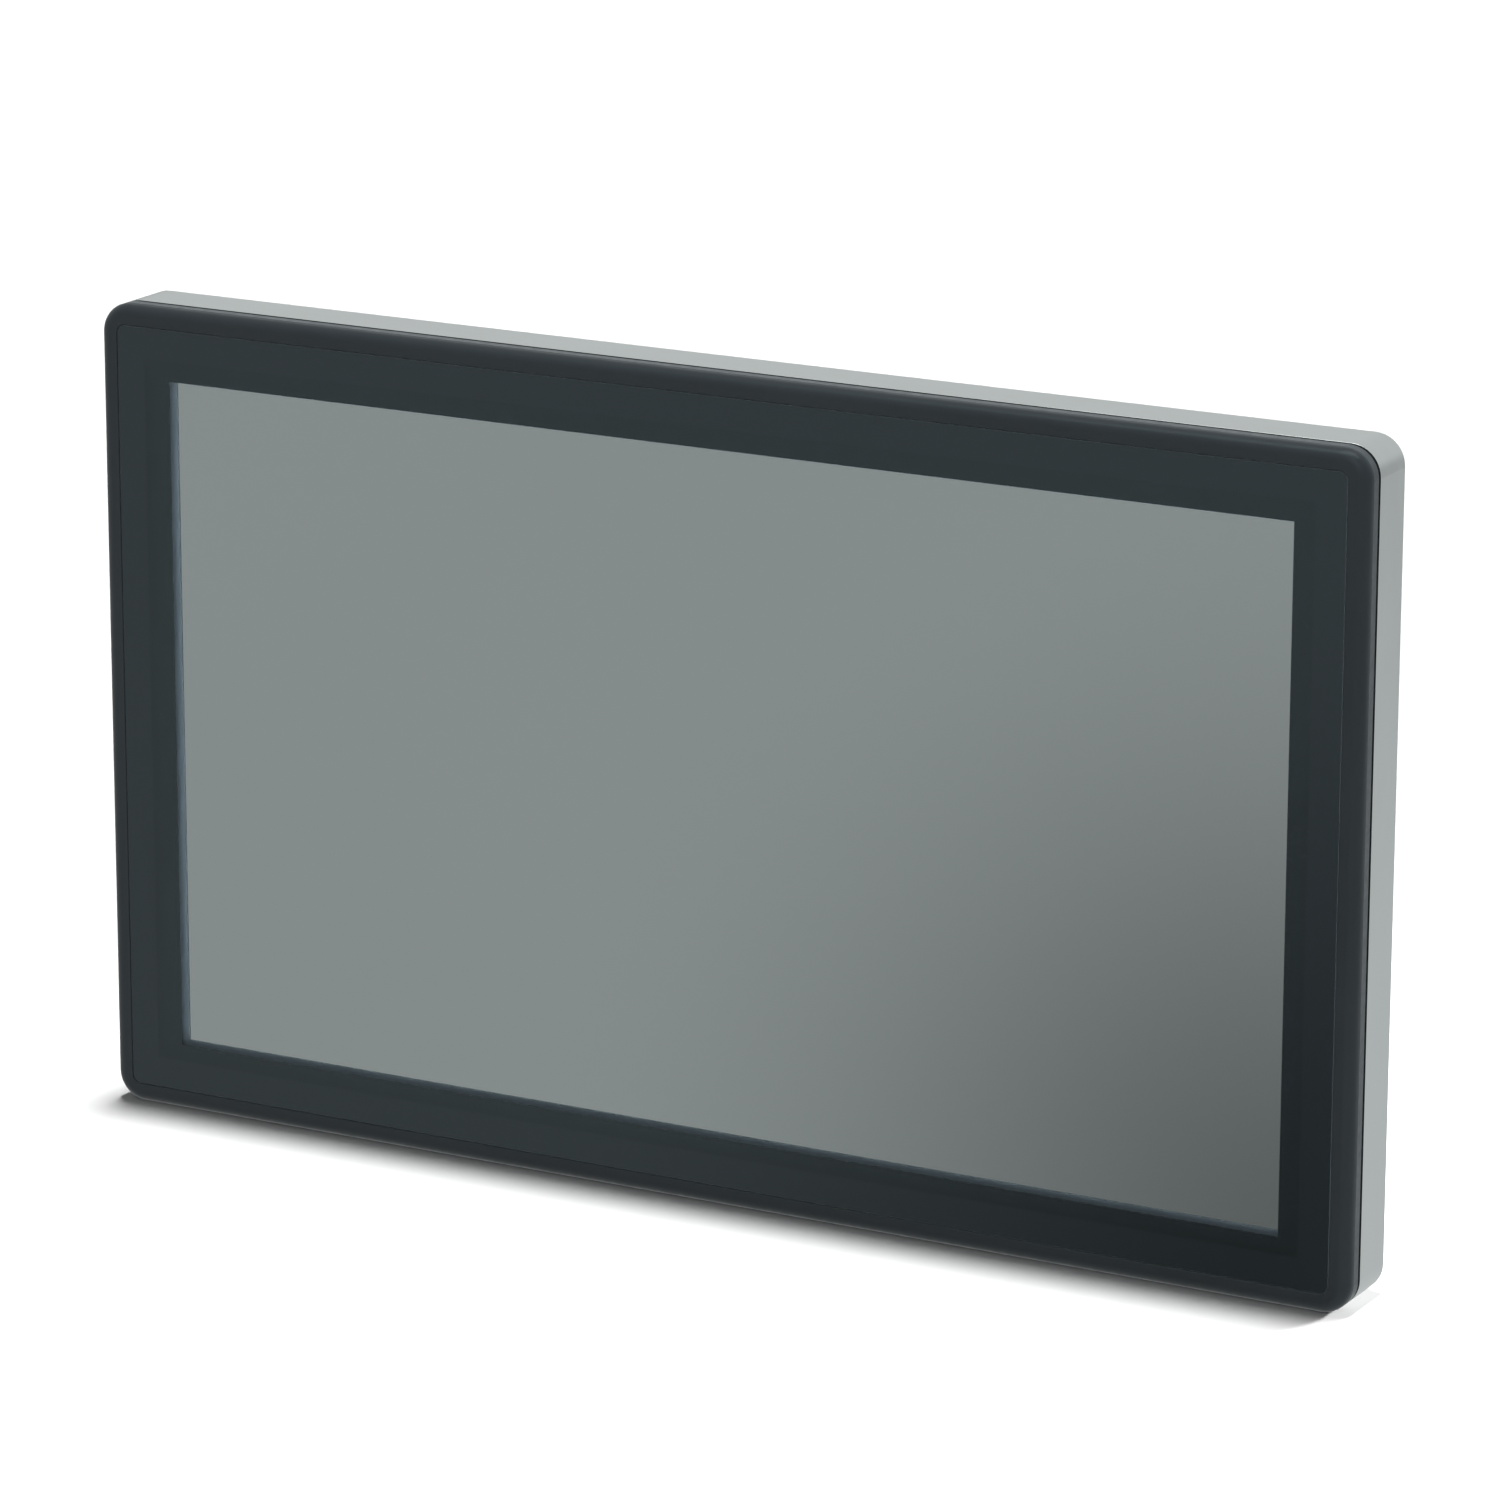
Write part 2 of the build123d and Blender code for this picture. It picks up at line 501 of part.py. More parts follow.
with BuildPart() as memory_module:
    block((MEMORY_X[0] + 0.2, BOARD_BACK + 2.3, 123), (MEMORY_X[1] - 0.2, BOARD_BACK + 3.3, 153))
    for x in (-52, -36, -20, -4):
        block((x, BOARD_BACK + 3.3, 132), (x + 10, BOARD_BACK + 4.2, 146))
memory_module.part.label = "memory_module"
export_step(memory_module.part, "parts/memory_module.step")

with BuildPart() as backup_battery:
    with Locations(facing(HOLDER_FLOOR)):
        with Locations(BATTERY_AT):
            Cylinder(BATTERY_R, BATTERY_T, align=DOWN)
    fillet(backup_battery.edges().filter_by(GeomType.CIRCLE), 0.4)
backup_battery.part.label = "backup_battery"
export_step(backup_battery.part, "parts/backup_battery.step")

# card reader at the edge of the board, behind the service flap
CARD_Z = (128.0, 156.0)
CARD_X = BOARD_X0 + 24
with BuildPart() as card_slot:
    block((BOARD_X0, BOARD_BACK, CARD_Z[0]), (CARD_X, BOARD_BACK + 3.4, CARD_Z[1]))
    mouth_low = (BOARD_X0, BOARD_BACK + 0.6, CARD_Z[0] + 2)
    block(mouth_low, (CARD_X - 1, BOARD_BACK + 2.8, CARD_Z[1] - 2), mode=Mode.SUBTRACT)
card_slot.part.label = "card_slot"
export_step(card_slot.part, "parts/card_slot.step")

# ---- connectors along the lower edge ----------------------------------------------------------------------

JACK_W, JACK_D, JACK_L = 16.0, 13.4, 21.3
JACK_MOUTH_W, JACK_MOUTH_D, JACK_MOUTH_L = 11.8, 8.2, 13.0
JACK_FLOOR = BOARD_BACK + 2.2
with BuildPart() as ethernet_ports:
    for x in ETHERNET_X:
        block((x - JACK_W / 2, BOARD_BACK, IO_MOUTH), (x + JACK_W / 2, BOARD_BACK + JACK_D, IO_MOUTH + JACK_L))
        mouth = (x + JACK_MOUTH_W / 2, JACK_FLOOR + JACK_MOUTH_D, IO_MOUTH + JACK_MOUTH_L)
        block((x - JACK_MOUTH_W / 2, JACK_FLOOR, IO_MOUTH), mouth, mode=Mode.SUBTRACT)
        latch = (x + 3.1, JACK_FLOOR, IO_MOUTH + 7)
        block((x - 3.1, JACK_FLOOR - 1.4, IO_MOUTH), latch, mode=Mode.SUBTRACT)
ethernet_ports.part.label = "ethernet_ports"
export_step(ethernet_ports.part, "parts/ethernet_ports.step")

USB_W, USB_D, USB_L, USB_SKIN = 13.2, 5.8, 14.0, 0.4
USB_FLOOR = BOARD_BACK + 0.4
with BuildPart() as usb_ports:
    for x in USB_X:
        block((x - USB_W / 2, USB_FLOOR, IO_MOUTH), (x + USB_W / 2, USB_FLOOR + USB_D, IO_MOUTH + USB_L))
        shell_top = (x + USB_W / 2 - USB_SKIN, USB_FLOOR + USB_D - USB_SKIN, IO_MOUTH + USB_L - 1)
        low = (x - USB_W / 2 + USB_SKIN, USB_FLOOR + USB_SKIN, IO_MOUTH)
        block(low, shell_top, mode=Mode.SUBTRACT)
        block((x - 5, BOARD_BACK, IO_MOUTH + 4), (x + 5, USB_FLOOR, IO_MOUTH + USB_L))
usb_ports.part.label = "usb_ports"
export_step(usb_ports.part, "parts/usb_ports.step")

with BuildPart() as usb_tongues:
    for x in USB_X:
        block((x - 5.5, USB_FLOOR + 3.4, IO_MOUTH + 1), (x + 5.5, USB_FLOOR + 5.2, IO_MOUTH + USB_L - 1))
usb_tongues.part.label = "usb_tongues"
export_step(usb_tongues.part, "parts/usb_tongues.step")

# nine-way serial socket with its two hexagon posts
SERIAL_PITCH, SERIAL_Y = 25.0, row_y(IO_DEPTH)
SHELL_W, SHELL_D, SHELL_L = 17.0, 8.4, 7.0
SHELL_LOW = IO_MOUTH - SHELL_L / 2
PIN_GAP, PIN_ROW, PIN_HOLE_R, PIN_HOLE_L = 2.76, 1.4, 0.6, 5.0
with BuildPart() as serial_port:
    with BuildSketch(Plane.XY.offset(IO_Z + IO_PLATE_T)):
        with Locations((SERIAL_X, SERIAL_Y)):
            RectangleRounded(31.0, 12.4, 1.0)
    extrude(amount=1.0)
    block((SERIAL_X - 10, BOARD_BACK, IO_Z + 2.2), (SERIAL_X + 10, IO_DEPTH + 5, IO_Z + 14))
    with BuildSketch(Plane.XY.offset(SHELL_LOW)):
        with Locations((SERIAL_X, SERIAL_Y)):
            Trapezoid(SHELL_W, SHELL_D, 80)
        fillet(vertices(), 2.0)
    extrude(amount=SHELL_L)
    with Locations((SERIAL_X, SERIAL_Y, IO_Z + IO_PLATE_T)):
        with GridLocations(SERIAL_PITCH, 1, 2, 1):
            Cylinder(M3 / 2, 1.0, align=UP, mode=Mode.SUBTRACT)
    for row, pins in ((PIN_ROW, 5), (-PIN_ROW, 4)):
        with Locations((SERIAL_X, SERIAL_Y + row, SHELL_LOW)):
            with GridLocations(PIN_GAP, 1, pins, 1):
                Cylinder(PIN_HOLE_R, PIN_HOLE_L, align=UP, mode=Mode.SUBTRACT)
serial_port.part.label = "serial_port"
export_step(serial_port.part, "parts/serial_port.step")

POST_L, POST_R, POST_BORE_R = 5.0, 2.6, 1.2
with BuildPart() as serial_posts:
    with BuildSketch(Plane.XY.offset(IO_Z)):
        with Locations((SERIAL_X, SERIAL_Y)):
            with GridLocations(SERIAL_PITCH, 1, 2, 1):
                RegularPolygon(POST_R, 6)
    extrude(amount=-POST_L)
    with Locations((SERIAL_X, SERIAL_Y, IO_Z)):
        with GridLocations(SERIAL_PITCH, 1, 2, 1):
            Cylinder(M3 / 2, POST_L, align=UP)
            Cylinder(POST_BORE_R, POST_L, align=DOWN, mode=Mode.SUBTRACT)
serial_posts.part.label = "serial_posts"
export_step(serial_posts.part, "parts/serial_posts.step")

# power supply board with its three-pin inlet
with BuildPart() as power_board:
    block((86, BOARD_FRONT, 36), (125, BOARD_BACK, 164))
    block((94, BOARD_BACK, 100), (114, BOARD_BACK + 12, 122))
    block((96, BOARD_BACK, 64), (112, BOARD_BACK + 6, 76))
    with Locations(facing(BOARD_BACK)):
        with Locations((98, 90), (112, 90)):
            Cylinder(5.0, 13.0, align=DOWN)
    with Locations(facing(HOUSING_BACK)):
        with Locations((94, 56), (121, 56), (94, 156), (121, 156)):
            Cylinder(2.5, BOARD_FRONT - HOUSING_BACK, align=DOWN)
power_board.part.label = "power_board"
export_step(power_board.part, "parts/power_board.step")

INLET_W, INLET_D, INLET_L, PIN_PITCH = 17.6, 11.0, 12.0, 5.08
INLET_Y = row_y(BOARD_BACK + INLET_D / 2)
with BuildPart() as power_inlet:
    with BuildSketch(Plane.XY.offset(IO_MOUTH)):
        with Locations((POWER_X, INLET_Y)):
            Rectangle(INLET_W, INLET_D)
    extrude(amount=INLET_L)
    with BuildSketch(Plane.XY.offset(IO_MOUTH)):
        with Locations((POWER_X, INLET_Y)):
            Rectangle(INLET_W - 2.0, INLET_D - 2.4)
    extrude(amount=INLET_L - 2.5, mode=Mode.SUBTRACT)
    for pin in (-1, 0, 1):
        with Locations((POWER_X + pin * PIN_PITCH, INLET_Y, IO_MOUTH + 2)):
            Box(1.0, 1.0, INLET_L - 3, align=UP)
power_inlet.part.label = "power_inlet"
export_step(power_inlet.part, "parts/power_inlet.step")

# rocker switch: its body holds the rocker on two trunnions
ROCKER_W, ROCKER_D, ROCKER_GAP = 17.0, 9.0, 0.35
SWITCH_LIP_Z = COVER_LOW + 0.3
ROCKER_Z, TRUNNION_R, TRUNNION_L = SWITCH_LIP_Z + 2.4, 1.2, 1.4
ROCKER_TILT = 9.0
SWITCH_LIP, SWITCH_W, SWITCH_D, SWITCH_L = (22.0, 14.0, 1.5), 20.0, 12.6, 13.0
with BuildPart() as power_switch_body:
    with BuildSketch(Plane.XY.offset(SWITCH_LIP_Z)):
        with Locations((ROCKER_X, SERIAL_Y)):
            RectangleRounded(*SWITCH_LIP)
    extrude(amount=IO_Z - SWITCH_LIP_Z)
    with BuildSketch(Plane.XY.offset(IO_Z)):
        with Locations((ROCKER_X, SERIAL_Y)):
            Rectangle(SWITCH_W, SWITCH_D)
    extrude(amount=SWITCH_L)
    with BuildSketch(Plane.XY.offset(SWITCH_LIP_Z)):
        with Locations((ROCKER_X, SERIAL_Y)):
            Rectangle(ROCKER_W + 2 * ROCKER_GAP, ROCKER_D + 2 * ROCKER_GAP)
    extrude(amount=9.0, mode=Mode.SUBTRACT)
    with Locations(Plane.XZ.offset(-SERIAL_Y)):
        with Locations((ROCKER_X, ROCKER_Z)):
            trunnion_span = ROCKER_D + 2 * TRUNNION_L + 0.1
            Cylinder(TRUNNION_R + 0.05, trunnion_span, mode=Mode.SUBTRACT)
power_switch_body.part.label = "power_switch_body"
export_step(power_switch_body.part, "parts/power_switch_body.step")

rocker_plane = Plane.XZ.offset(-(SERIAL_Y + ROCKER_D / 2)) * Location((ROCKER_X, ROCKER_Z, 0), (0, 0, ROCKER_TILT))
with BuildPart() as power_rocker:
    with BuildSketch(rocker_plane):
        with BuildLine():
            tip = ROCKER_W / 2 - 0.25
            Polyline((-tip + 0.5, 2.2), (-tip, -2.6), (0, -1.2), (tip, -2.6), (tip - 0.5, 2.2), close=True)
        make_face()
    extrude(amount=ROCKER_D)
    fillet(power_rocker.edges().group_by(Axis.Z)[0], 0.3)
    with Locations(Plane.XZ.offset(-SERIAL_Y)):
        with Locations((ROCKER_X, ROCKER_Z)):
            Cylinder(TRUNNION_R, ROCKER_D + 2 * TRUNNION_L)
power_rocker.part.label = "power_rocker"
export_step(power_rocker.part, "parts/power_rocker.step")

# reset button: cap, spring and the switch that it presses
BUTTON_R, BUTTON_TRAVEL, STEM_R = 2.3, 1.2, 1.2
BUTTON_Z, COLLAR_Z = COVER_LOW + 0.2, IO_Z + IO_PLATE_T + 0.05
COLLAR_T, SPRING_L, SPRING_R, SPRING_WIRE = 0.8, 5.0, 2.0, 0.35
SWITCH_Z = COLLAR_Z + COLLAR_T + SPRING_L
with BuildPart() as reset_button:
    with Locations((RESET_X, SERIAL_Y, BUTTON_Z)):
        Cylinder(BUTTON_R, COLLAR_Z - BUTTON_Z, align=UP)
    fillet(reset_button.edges().sort_by(Axis.Z)[0], 0.4)
    with Locations((RESET_X, SERIAL_Y, COLLAR_Z)):
        Cylinder(3.1, COLLAR_T, align=UP)
        Cylinder(STEM_R, COLLAR_T + SPRING_L - BUTTON_TRAVEL - 0.3, align=UP)
reset_button.part.label = "reset_button"
export_step(reset_button.part, "parts/reset_button.step")

spring_foot = (RESET_X, SERIAL_Y, COLLAR_Z + COLLAR_T + SPRING_WIRE / 2)
spring_path = Helix(pitch=1.0, height=SPRING_L - SPRING_WIRE, radius=SPRING_R, center=spring_foot)
with BuildPart() as reset_spring:
    with BuildLine():
        add(spring_path)
    with BuildSketch(Plane(spring_path @ 0, z_dir=spring_path % 0)):
        Circle(SPRING_WIRE / 2)
    sweep()
reset_spring.part.label = "reset_spring"
export_step(reset_spring.part, "parts/reset_spring.step")

with BuildPart() as reset_switch:
    half = 3.3
    switch_high = (RESET_X + half, IO_DEPTH + half, SWITCH_Z + 5)
    block((RESET_X - half, BOARD_BACK, SWITCH_Z), switch_high)
reset_switch.part.label = "reset_switch"
export_step(reset_switch.part, "parts/reset_switch.step")

# plate that the connectors stand behind
PLATE_X = (-112.0, 121.0)
PLATE_DEPTH = (BOARD_BACK - 2.6, COVER_BACK - COVER_WALL)
EARTH_Y, STUD_R = row_y(IO_DEPTH + 1.0), 2.5
CLEAR = 0.25
with BuildPart() as io_plate:
    block((PLATE_X[0], PLATE_DEPTH[0], IO_Z), (PLATE_X[1], PLATE_DEPTH[1], IO_Z + IO_PLATE_T))
    openings = [(x, JACK_W, BOARD_BACK, JACK_D) for x in ETHERNET_X]
    openings += [(x, USB_W, USB_FLOOR, USB_D) for x in USB_X]
    openings += [(POWER_X, INLET_W, BOARD_BACK, INLET_D), (SERIAL_X, SHELL_W, IO_DEPTH - SHELL_D / 2, SHELL_D)]
    openings += [(ROCKER_X, SWITCH_W, IO_DEPTH - SWITCH_D / 2, SWITCH_D)]
    for x, width, depth, height in openings:
        cut_low = (x - width / 2 - CLEAR, depth - CLEAR, IO_Z)
        cut_high = (x + width / 2 + CLEAR, depth + height + CLEAR, IO_Z + IO_PLATE_T)
        block(cut_low, cut_high, mode=Mode.SUBTRACT)
    with Locations(Plane.XY.offset(IO_Z)):
        with Locations((SERIAL_X - SERIAL_PITCH / 2, SERIAL_Y), (SERIAL_X + SERIAL_PITCH / 2, SERIAL_Y)):
            Cylinder(M3 / 2, IO_PLATE_T, align=UP, mode=Mode.SUBTRACT)
        with Locations((RESET_X, SERIAL_Y)):
            Cylinder(BUTTON_R + 0.15, IO_PLATE_T, align=UP, mode=Mode.SUBTRACT)
        with Locations((EARTH_X, EARTH_Y)):
            Cylinder(STUD_R, IO_PLATE_T, align=UP, mode=Mode.SUBTRACT)
io_plate.part.label = "io_plate"
export_step(io_plate.part, "parts/io_plate.step")

# earth stud through the plate, held by its head, with a nut on it and a thread relief below the nut
STUD_END = 18.0
NUT_END = IO_Z - 4.6
RELIEF = 0.6
with BuildPart() as earth_stud:
    with Locations((EARTH_X, EARTH_Y, IO_Z + IO_PLATE_T)):
        Cylinder(STUD_R, IO_Z + IO_PLATE_T - STUD_END, align=DOWN)
        Cylinder(4.0, 2.0, align=UP)
    chamfer(earth_stud.edges().sort_by(Axis.Z)[0], 0.5)
    with BuildSketch(Plane.XY.offset(NUT_END)):
        with Locations((EARTH_X, EARTH_Y)):
            Circle(STUD_R)
            Circle(STUD_R - 0.4, mode=Mode.SUBTRACT)
    extrude(amount=-RELIEF, mode=Mode.SUBTRACT)
earth_stud.part.label = "earth_stud"
export_step(earth_stud.part, "parts/earth_stud.step")

with BuildPart() as earth_nut:
    with Locations((EARTH_X, EARTH_Y, IO_Z)):
        Cylinder(4.6, 1.0, align=DOWN)
    with BuildSketch(Plane.XY.offset(IO_Z - 1.0)):
        with Locations((EARTH_X, EARTH_Y)):
            RegularPolygon(4.4, 6)
    extrude(amount=-3.6)
    with Locations((EARTH_X, EARTH_Y, IO_Z)):
        Cylinder(STUD_R, 5.0, align=DOWN, mode=Mode.SUBTRACT)
earth_nut.part.label = "earth_nut"
export_step(earth_nut.part, "parts/earth_nut.step")

# ---- rear cover -------------------------------------------------------------------------------------------

COVER_X = COVER_W / 2
WINDOW_Z = (126.0, 172.0)
WINDOW_DEPTH = (31.5, 44.5)
RIVET_AT = [(0, COVER_Z + 42), (0, COVER_Z - 42), (-42, COVER_Z), (42, COVER_Z)]
RIVET_R, RIVET_HEAD_R, RIVET_SEAT = 2.0, 4.0, 2.0
SINK_X, SINK_W, SINK_H = 93.0, 52.0, 128.0
SINK_SCREW_AT = [(sx * SINK_X + x, COVER_Z + z) for sx in (-1, 1) for x in (-20.6, 20.6) for z in (-58, 58)]
VENT_AT, VENT_R, VENT_STEM_R = (-COVER_X + 20.0, COVER_Z - 72.8), 7.0, 5.0
HINGE_X, HINGE_DEPTH, HINGE_R, PIN_R = -COVER_X - 2.2, 29.3, 2.0, 1.0
FLAP_Z = (120.0, 178.5)
EAR_L = 7.0

GASKET_INSET = 1.0
gasket_outer = (COVER_W + 2 * (FLANGE - GASKET_INSET), COVER_H + 2 * (FLANGE - GASKET_INSET), COVER_R)
with BuildPart() as cover_gasket:
    with BuildSketch(facing(HOUSING_BACK)):
        with Locations((0, COVER_Z)):
            RectangleRounded(*gasket_outer)
            RectangleRounded(COVER_W - 4, COVER_H - 4, COVER_R - 2, mode=Mode.SUBTRACT)
        with Locations(*COVER_SCREW_AT):
            Circle(M3_CLEAR, mode=Mode.SUBTRACT)
    extrude(amount=HOUSING_BACK - COVER_FRONT)
cover_gasket.part.label = "cover_gasket"
export_step(cover_gasket.part, "parts/cover_gasket.step")

with BuildPart() as rear_cover:
    with BuildSketch(facing(COVER_FRONT)):
        with Locations((0, COVER_Z)):
            RectangleRounded(COVER_W, COVER_H, COVER_R)
    extrude(amount=COVER_FRONT - COVER_BACK)
    fillet(rear_cover.faces().sort_by(Axis.Y)[-1].edges(), 2.0)
    with BuildSketch(facing(COVER_FRONT)):
        with Locations((0, COVER_Z)):
            RectangleRounded(COVER_W + 2 * FLANGE, COVER_H + 2 * FLANGE, COVER_R)
    extrude(amount=-COVER_WALL)
    with BuildSketch(facing(COVER_FRONT)):
        with Locations((0, COVER_Z)):
            RectangleRounded(COVER_W - 2 * COVER_WALL, COVER_H - 2 * COVER_WALL, COVER_R - COVER_WALL)
    extrude(amount=COVER_FRONT - (COVER_BACK - COVER_WALL), mode=Mode.SUBTRACT)
    # connector window, service window and the holes
    io_low = (PLATE_X[0] + 3, BOARD_BACK - 1.4, COVER_LOW)
    block(io_low, (PLATE_X[1] - 3, COVER_BACK - 3.2, IO_Z), mode=Mode.SUBTRACT)
    service_low = (-COVER_X, WINDOW_DEPTH[0], WINDOW_Z[0])
    block(service_low, (-COVER_X + COVER_WALL, WINDOW_DEPTH[1], WINDOW_Z[1]), mode=Mode.SUBTRACT)
    for z in (FLAP_Z[0], FLAP_Z[1] - EAR_L):
        with BuildSketch(Plane.XY.offset(z)):
            with Locations((HINGE_X, row_y(HINGE_DEPTH))):
                Circle(HINGE_R)
            with Locations(((HINGE_X - COVER_X) / 2, row_y(HINGE_DEPTH))):
                Rectangle(-HINGE_X - COVER_X, 2 * HINGE_R)
        extrude(amount=EAR_L)
    with Locations((HINGE_X, row_y(HINGE_DEPTH), FLAP_Z[0])):
        Cylinder(PIN_R, FLAP_Z[1] - FLAP_Z[0], align=UP, mode=Mode.SUBTRACT)
    with Locations(facing(COVER_FRONT + COVER_WALL)):
        with Locations(*COVER_SCREW_AT):
            Cylinder(M3_CLEAR, COVER_WALL, align=UP, mode=Mode.SUBTRACT)
    with Locations(facing(COVER_BACK)):
        with Locations(*RIVET_AT):
            Cylinder(RIVET_R, COVER_WALL, align=UP, mode=Mode.SUBTRACT)
        with Locations(*SINK_SCREW_AT):
            Cylinder(M3 / 2, COVER_WALL, align=UP, mode=Mode.SUBTRACT)
        with Locations(VENT_AT):
            Cylinder(VENT_STEM_R, COVER_WALL, align=UP, mode=Mode.SUBTRACT)
rear_cover.part.label = "rear_cover"
export_step(rear_cover.part, "parts/rear_cover.step")

cover_screws = socket_screws(COVER_SCREW_AT, COVER_FRONT + COVER_WALL, M3, 5.0)
cover_screws.part.label = "cover_screws"
export_step(cover_screws.part, "parts/cover_screws.step")

# ---- bracket interface ------------------------------------------------------------------------------------

INSERT_R = 3.6
VESA_R, VESA_CHAMFER, VESA_RECESS, VESA_RECESS_DEPTH = 8.0, 0.8, (62.0, 62.0, 6.0), 3.0
VESA_T = TOTAL_DEPTH - COVER_BACK
VESA_HALF = VESA_PITCH / 2
VESA_AT = [(x, COVER_Z + z) for x in (-VESA_HALF, VESA_HALF) for z in (-VESA_HALF, VESA_HALF)]
with BuildPart() as vesa_plate:
    with BuildSketch(facing(COVER_BACK)):
        with Locations((0, COVER_Z)):
            RectangleRounded(VESA_PLATE, VESA_PLATE, VESA_R)
    extrude(amount=-VESA_T)
    chamfer(vesa_plate.faces().sort_by(Axis.Y)[-1].edges(), VESA_CHAMFER)
    with BuildSketch(facing(TOTAL_DEPTH)):
        with Locations((0, COVER_Z)):
            RectangleRounded(*VESA_RECESS)
    extrude(amount=VESA_RECESS_DEPTH, mode=Mode.SUBTRACT)
    with Locations(facing(TOTAL_DEPTH)):
        with Locations(*VESA_AT):
            Cylinder(INSERT_R, VESA_T, align=UP, mode=Mode.SUBTRACT)
        with Locations(*RIVET_AT):
            Cylinder(RIVET_HEAD_R + 0.2, RIVET_SEAT, align=UP, mode=Mode.SUBTRACT)
            Cylinder(RIVET_R, VESA_T, align=UP, mode=Mode.SUBTRACT)
vesa_plate.part.label = "vesa_plate"
export_step(vesa_plate.part, "parts/vesa_plate.step")

with BuildPart() as vesa_inserts:
    with Locations(facing(TOTAL_DEPTH)):
        with Locations(*VESA_AT):
            Cylinder(INSERT_R, VESA_T, align=UP)
            Cylinder(VESA_HOLE_R, VESA_T, align=UP, mode=Mode.SUBTRACT)
vesa_inserts.part.label = "vesa_inserts"
export_step(vesa_inserts.part, "parts/vesa_inserts.step")

with BuildPart() as plate_rivets:
    with Locations(facing(TOTAL_DEPTH - RIVET_SEAT)):
        with Locations(*RIVET_AT):
            Cylinder(RIVET_HEAD_R, 1.4, align=DOWN)
            Cylinder(RIVET_R, VESA_T - RIVET_SEAT + COVER_WALL + 0.5, align=UP)
    with Locations(facing(COVER_BACK - COVER_WALL)):
        with Locations(*RIVET_AT):
            Cylinder(3.2, 1.2, align=UP)
    fillet(plate_rivets.faces().group_by(Axis.Y)[-1].edges(), 1.0)
plate_rivets.part.label = "plate_rivets"
export_step(plate_rivets.part, "parts/plate_rivets.step")

# finned heat sinks, one each side of the bracket plate
SINK_BASE, FIN_T, FIN_PITCH, FIN_COUNT, SINK_BACK = 2.0, 1.4, 3.6, 10, 55.0
with BuildPart() as heat_sinks:
    with Locations((-SINK_X, row_y(COVER_BACK), COVER_Z), (SINK_X, row_y(COVER_BACK), COVER_Z)):
        Box(SINK_W, SINK_BASE, SINK_H, align=(Align.CENTER, Align.MIN, Align.CENTER))
        with GridLocations(FIN_PITCH, 1, FIN_COUNT, 1):
            Box(FIN_T, SINK_BACK - COVER_BACK, SINK_H, align=(Align.CENTER, Align.MIN, Align.CENTER))
    with Locations(facing(COVER_BACK + SINK_BASE)):
        with Locations(*SINK_SCREW_AT):
            Cylinder(M3_CLEAR, SINK_BASE, align=UP, mode=Mode.SUBTRACT)
heat_sinks.part.label = "heat_sinks"
export_step(heat_sinks.part, "parts/heat_sinks.step")

sink_screws = socket_screws(SINK_SCREW_AT, COVER_BACK + SINK_BASE, M3, 6.0)
sink_screws.part.label = "sink_screws"
export_step(sink_screws.part, "parts/sink_screws.step")

with BuildPart() as vent_plug:
    with Locations(facing(COVER_BACK)):
        with Locations(VENT_AT):
            Cylinder(VENT_R, 3.0, align=DOWN)
            Cylinder(VENT_STEM_R, COVER_WALL + 2.5, align=UP)
    fillet(vent_plug.faces().sort_by(Axis.Y)[-1].edges(), 0.8)
    with Locations(facing(COVER_BACK + 1.6)):
        with Locations(VENT_AT):
            with PolarLocations(0, 6):
                with Locations((VENT_R - 0.6, 0)):
                    Box(2.4, 1.6, 1.0, mode=Mode.SUBTRACT)
vent_plug.part.label = "vent_plug"
export_step(vent_plug.part, "parts/vent_plug.step")

# ---- service flap -----------------------------------------------------------------------------------------

KNUCKLE_GAP, PIN_CLEARANCE, FLAP_BACK = 0.3, 0.05, 47.0
KNUCKLE_Z = (FLAP_Z[0] + EAR_L + KNUCKLE_GAP, FLAP_Z[1] - EAR_L - KNUCKLE_GAP)
FLAP_T = 2.0
with BuildPart() as service_flap:
    with Locations((HINGE_X, row_y(HINGE_DEPTH), KNUCKLE_Z[0])):
        Cylinder(HINGE_R, KNUCKLE_Z[1] - KNUCKLE_Z[0], align=UP)
    flap_x = (HINGE_X - FLAP_T / 2, HINGE_X + FLAP_T / 2)
    block((flap_x[0], HINGE_DEPTH, KNUCKLE_Z[0]), (flap_x[1], HINGE_DEPTH + 3, KNUCKLE_Z[1]))
    block((flap_x[0], HINGE_DEPTH + 2.5, FLAP_Z[0]), (flap_x[1], FLAP_BACK, FLAP_Z[1]))
    fillet(service_flap.faces().sort_by(Axis.Y)[-1].edges().filter_by(Axis.X), 1.5)
    # finger grip along the free edge
    grip_z = (FLAP_Z[0] + FLAP_Z[1]) / 2
    block((flap_x[0] - 1.2, FLAP_BACK - 1.6, grip_z - 12), (flap_x[0], FLAP_BACK, grip_z + 12))
    with Locations((HINGE_X, row_y(HINGE_DEPTH), FLAP_Z[0])):
        Cylinder(PIN_R + PIN_CLEARANCE, FLAP_Z[1] - FLAP_Z[0], align=UP, mode=Mode.SUBTRACT)
service_flap.part.label = "service_flap"
export_step(service_flap.part, "parts/service_flap.step")

with BuildPart() as flap_hinge_pin:
    with Locations((HINGE_X, row_y(HINGE_DEPTH), FLAP_Z[0])):
        Cylinder(PIN_R, FLAP_Z[1] - FLAP_Z[0], align=UP)
        Cylinder(PIN_R * 1.6, 0.6, align=DOWN)
flap_hinge_pin.part.label = "flap_hinge_pin"
export_step(flap_hinge_pin.part, "parts/flap_hinge_pin.step")

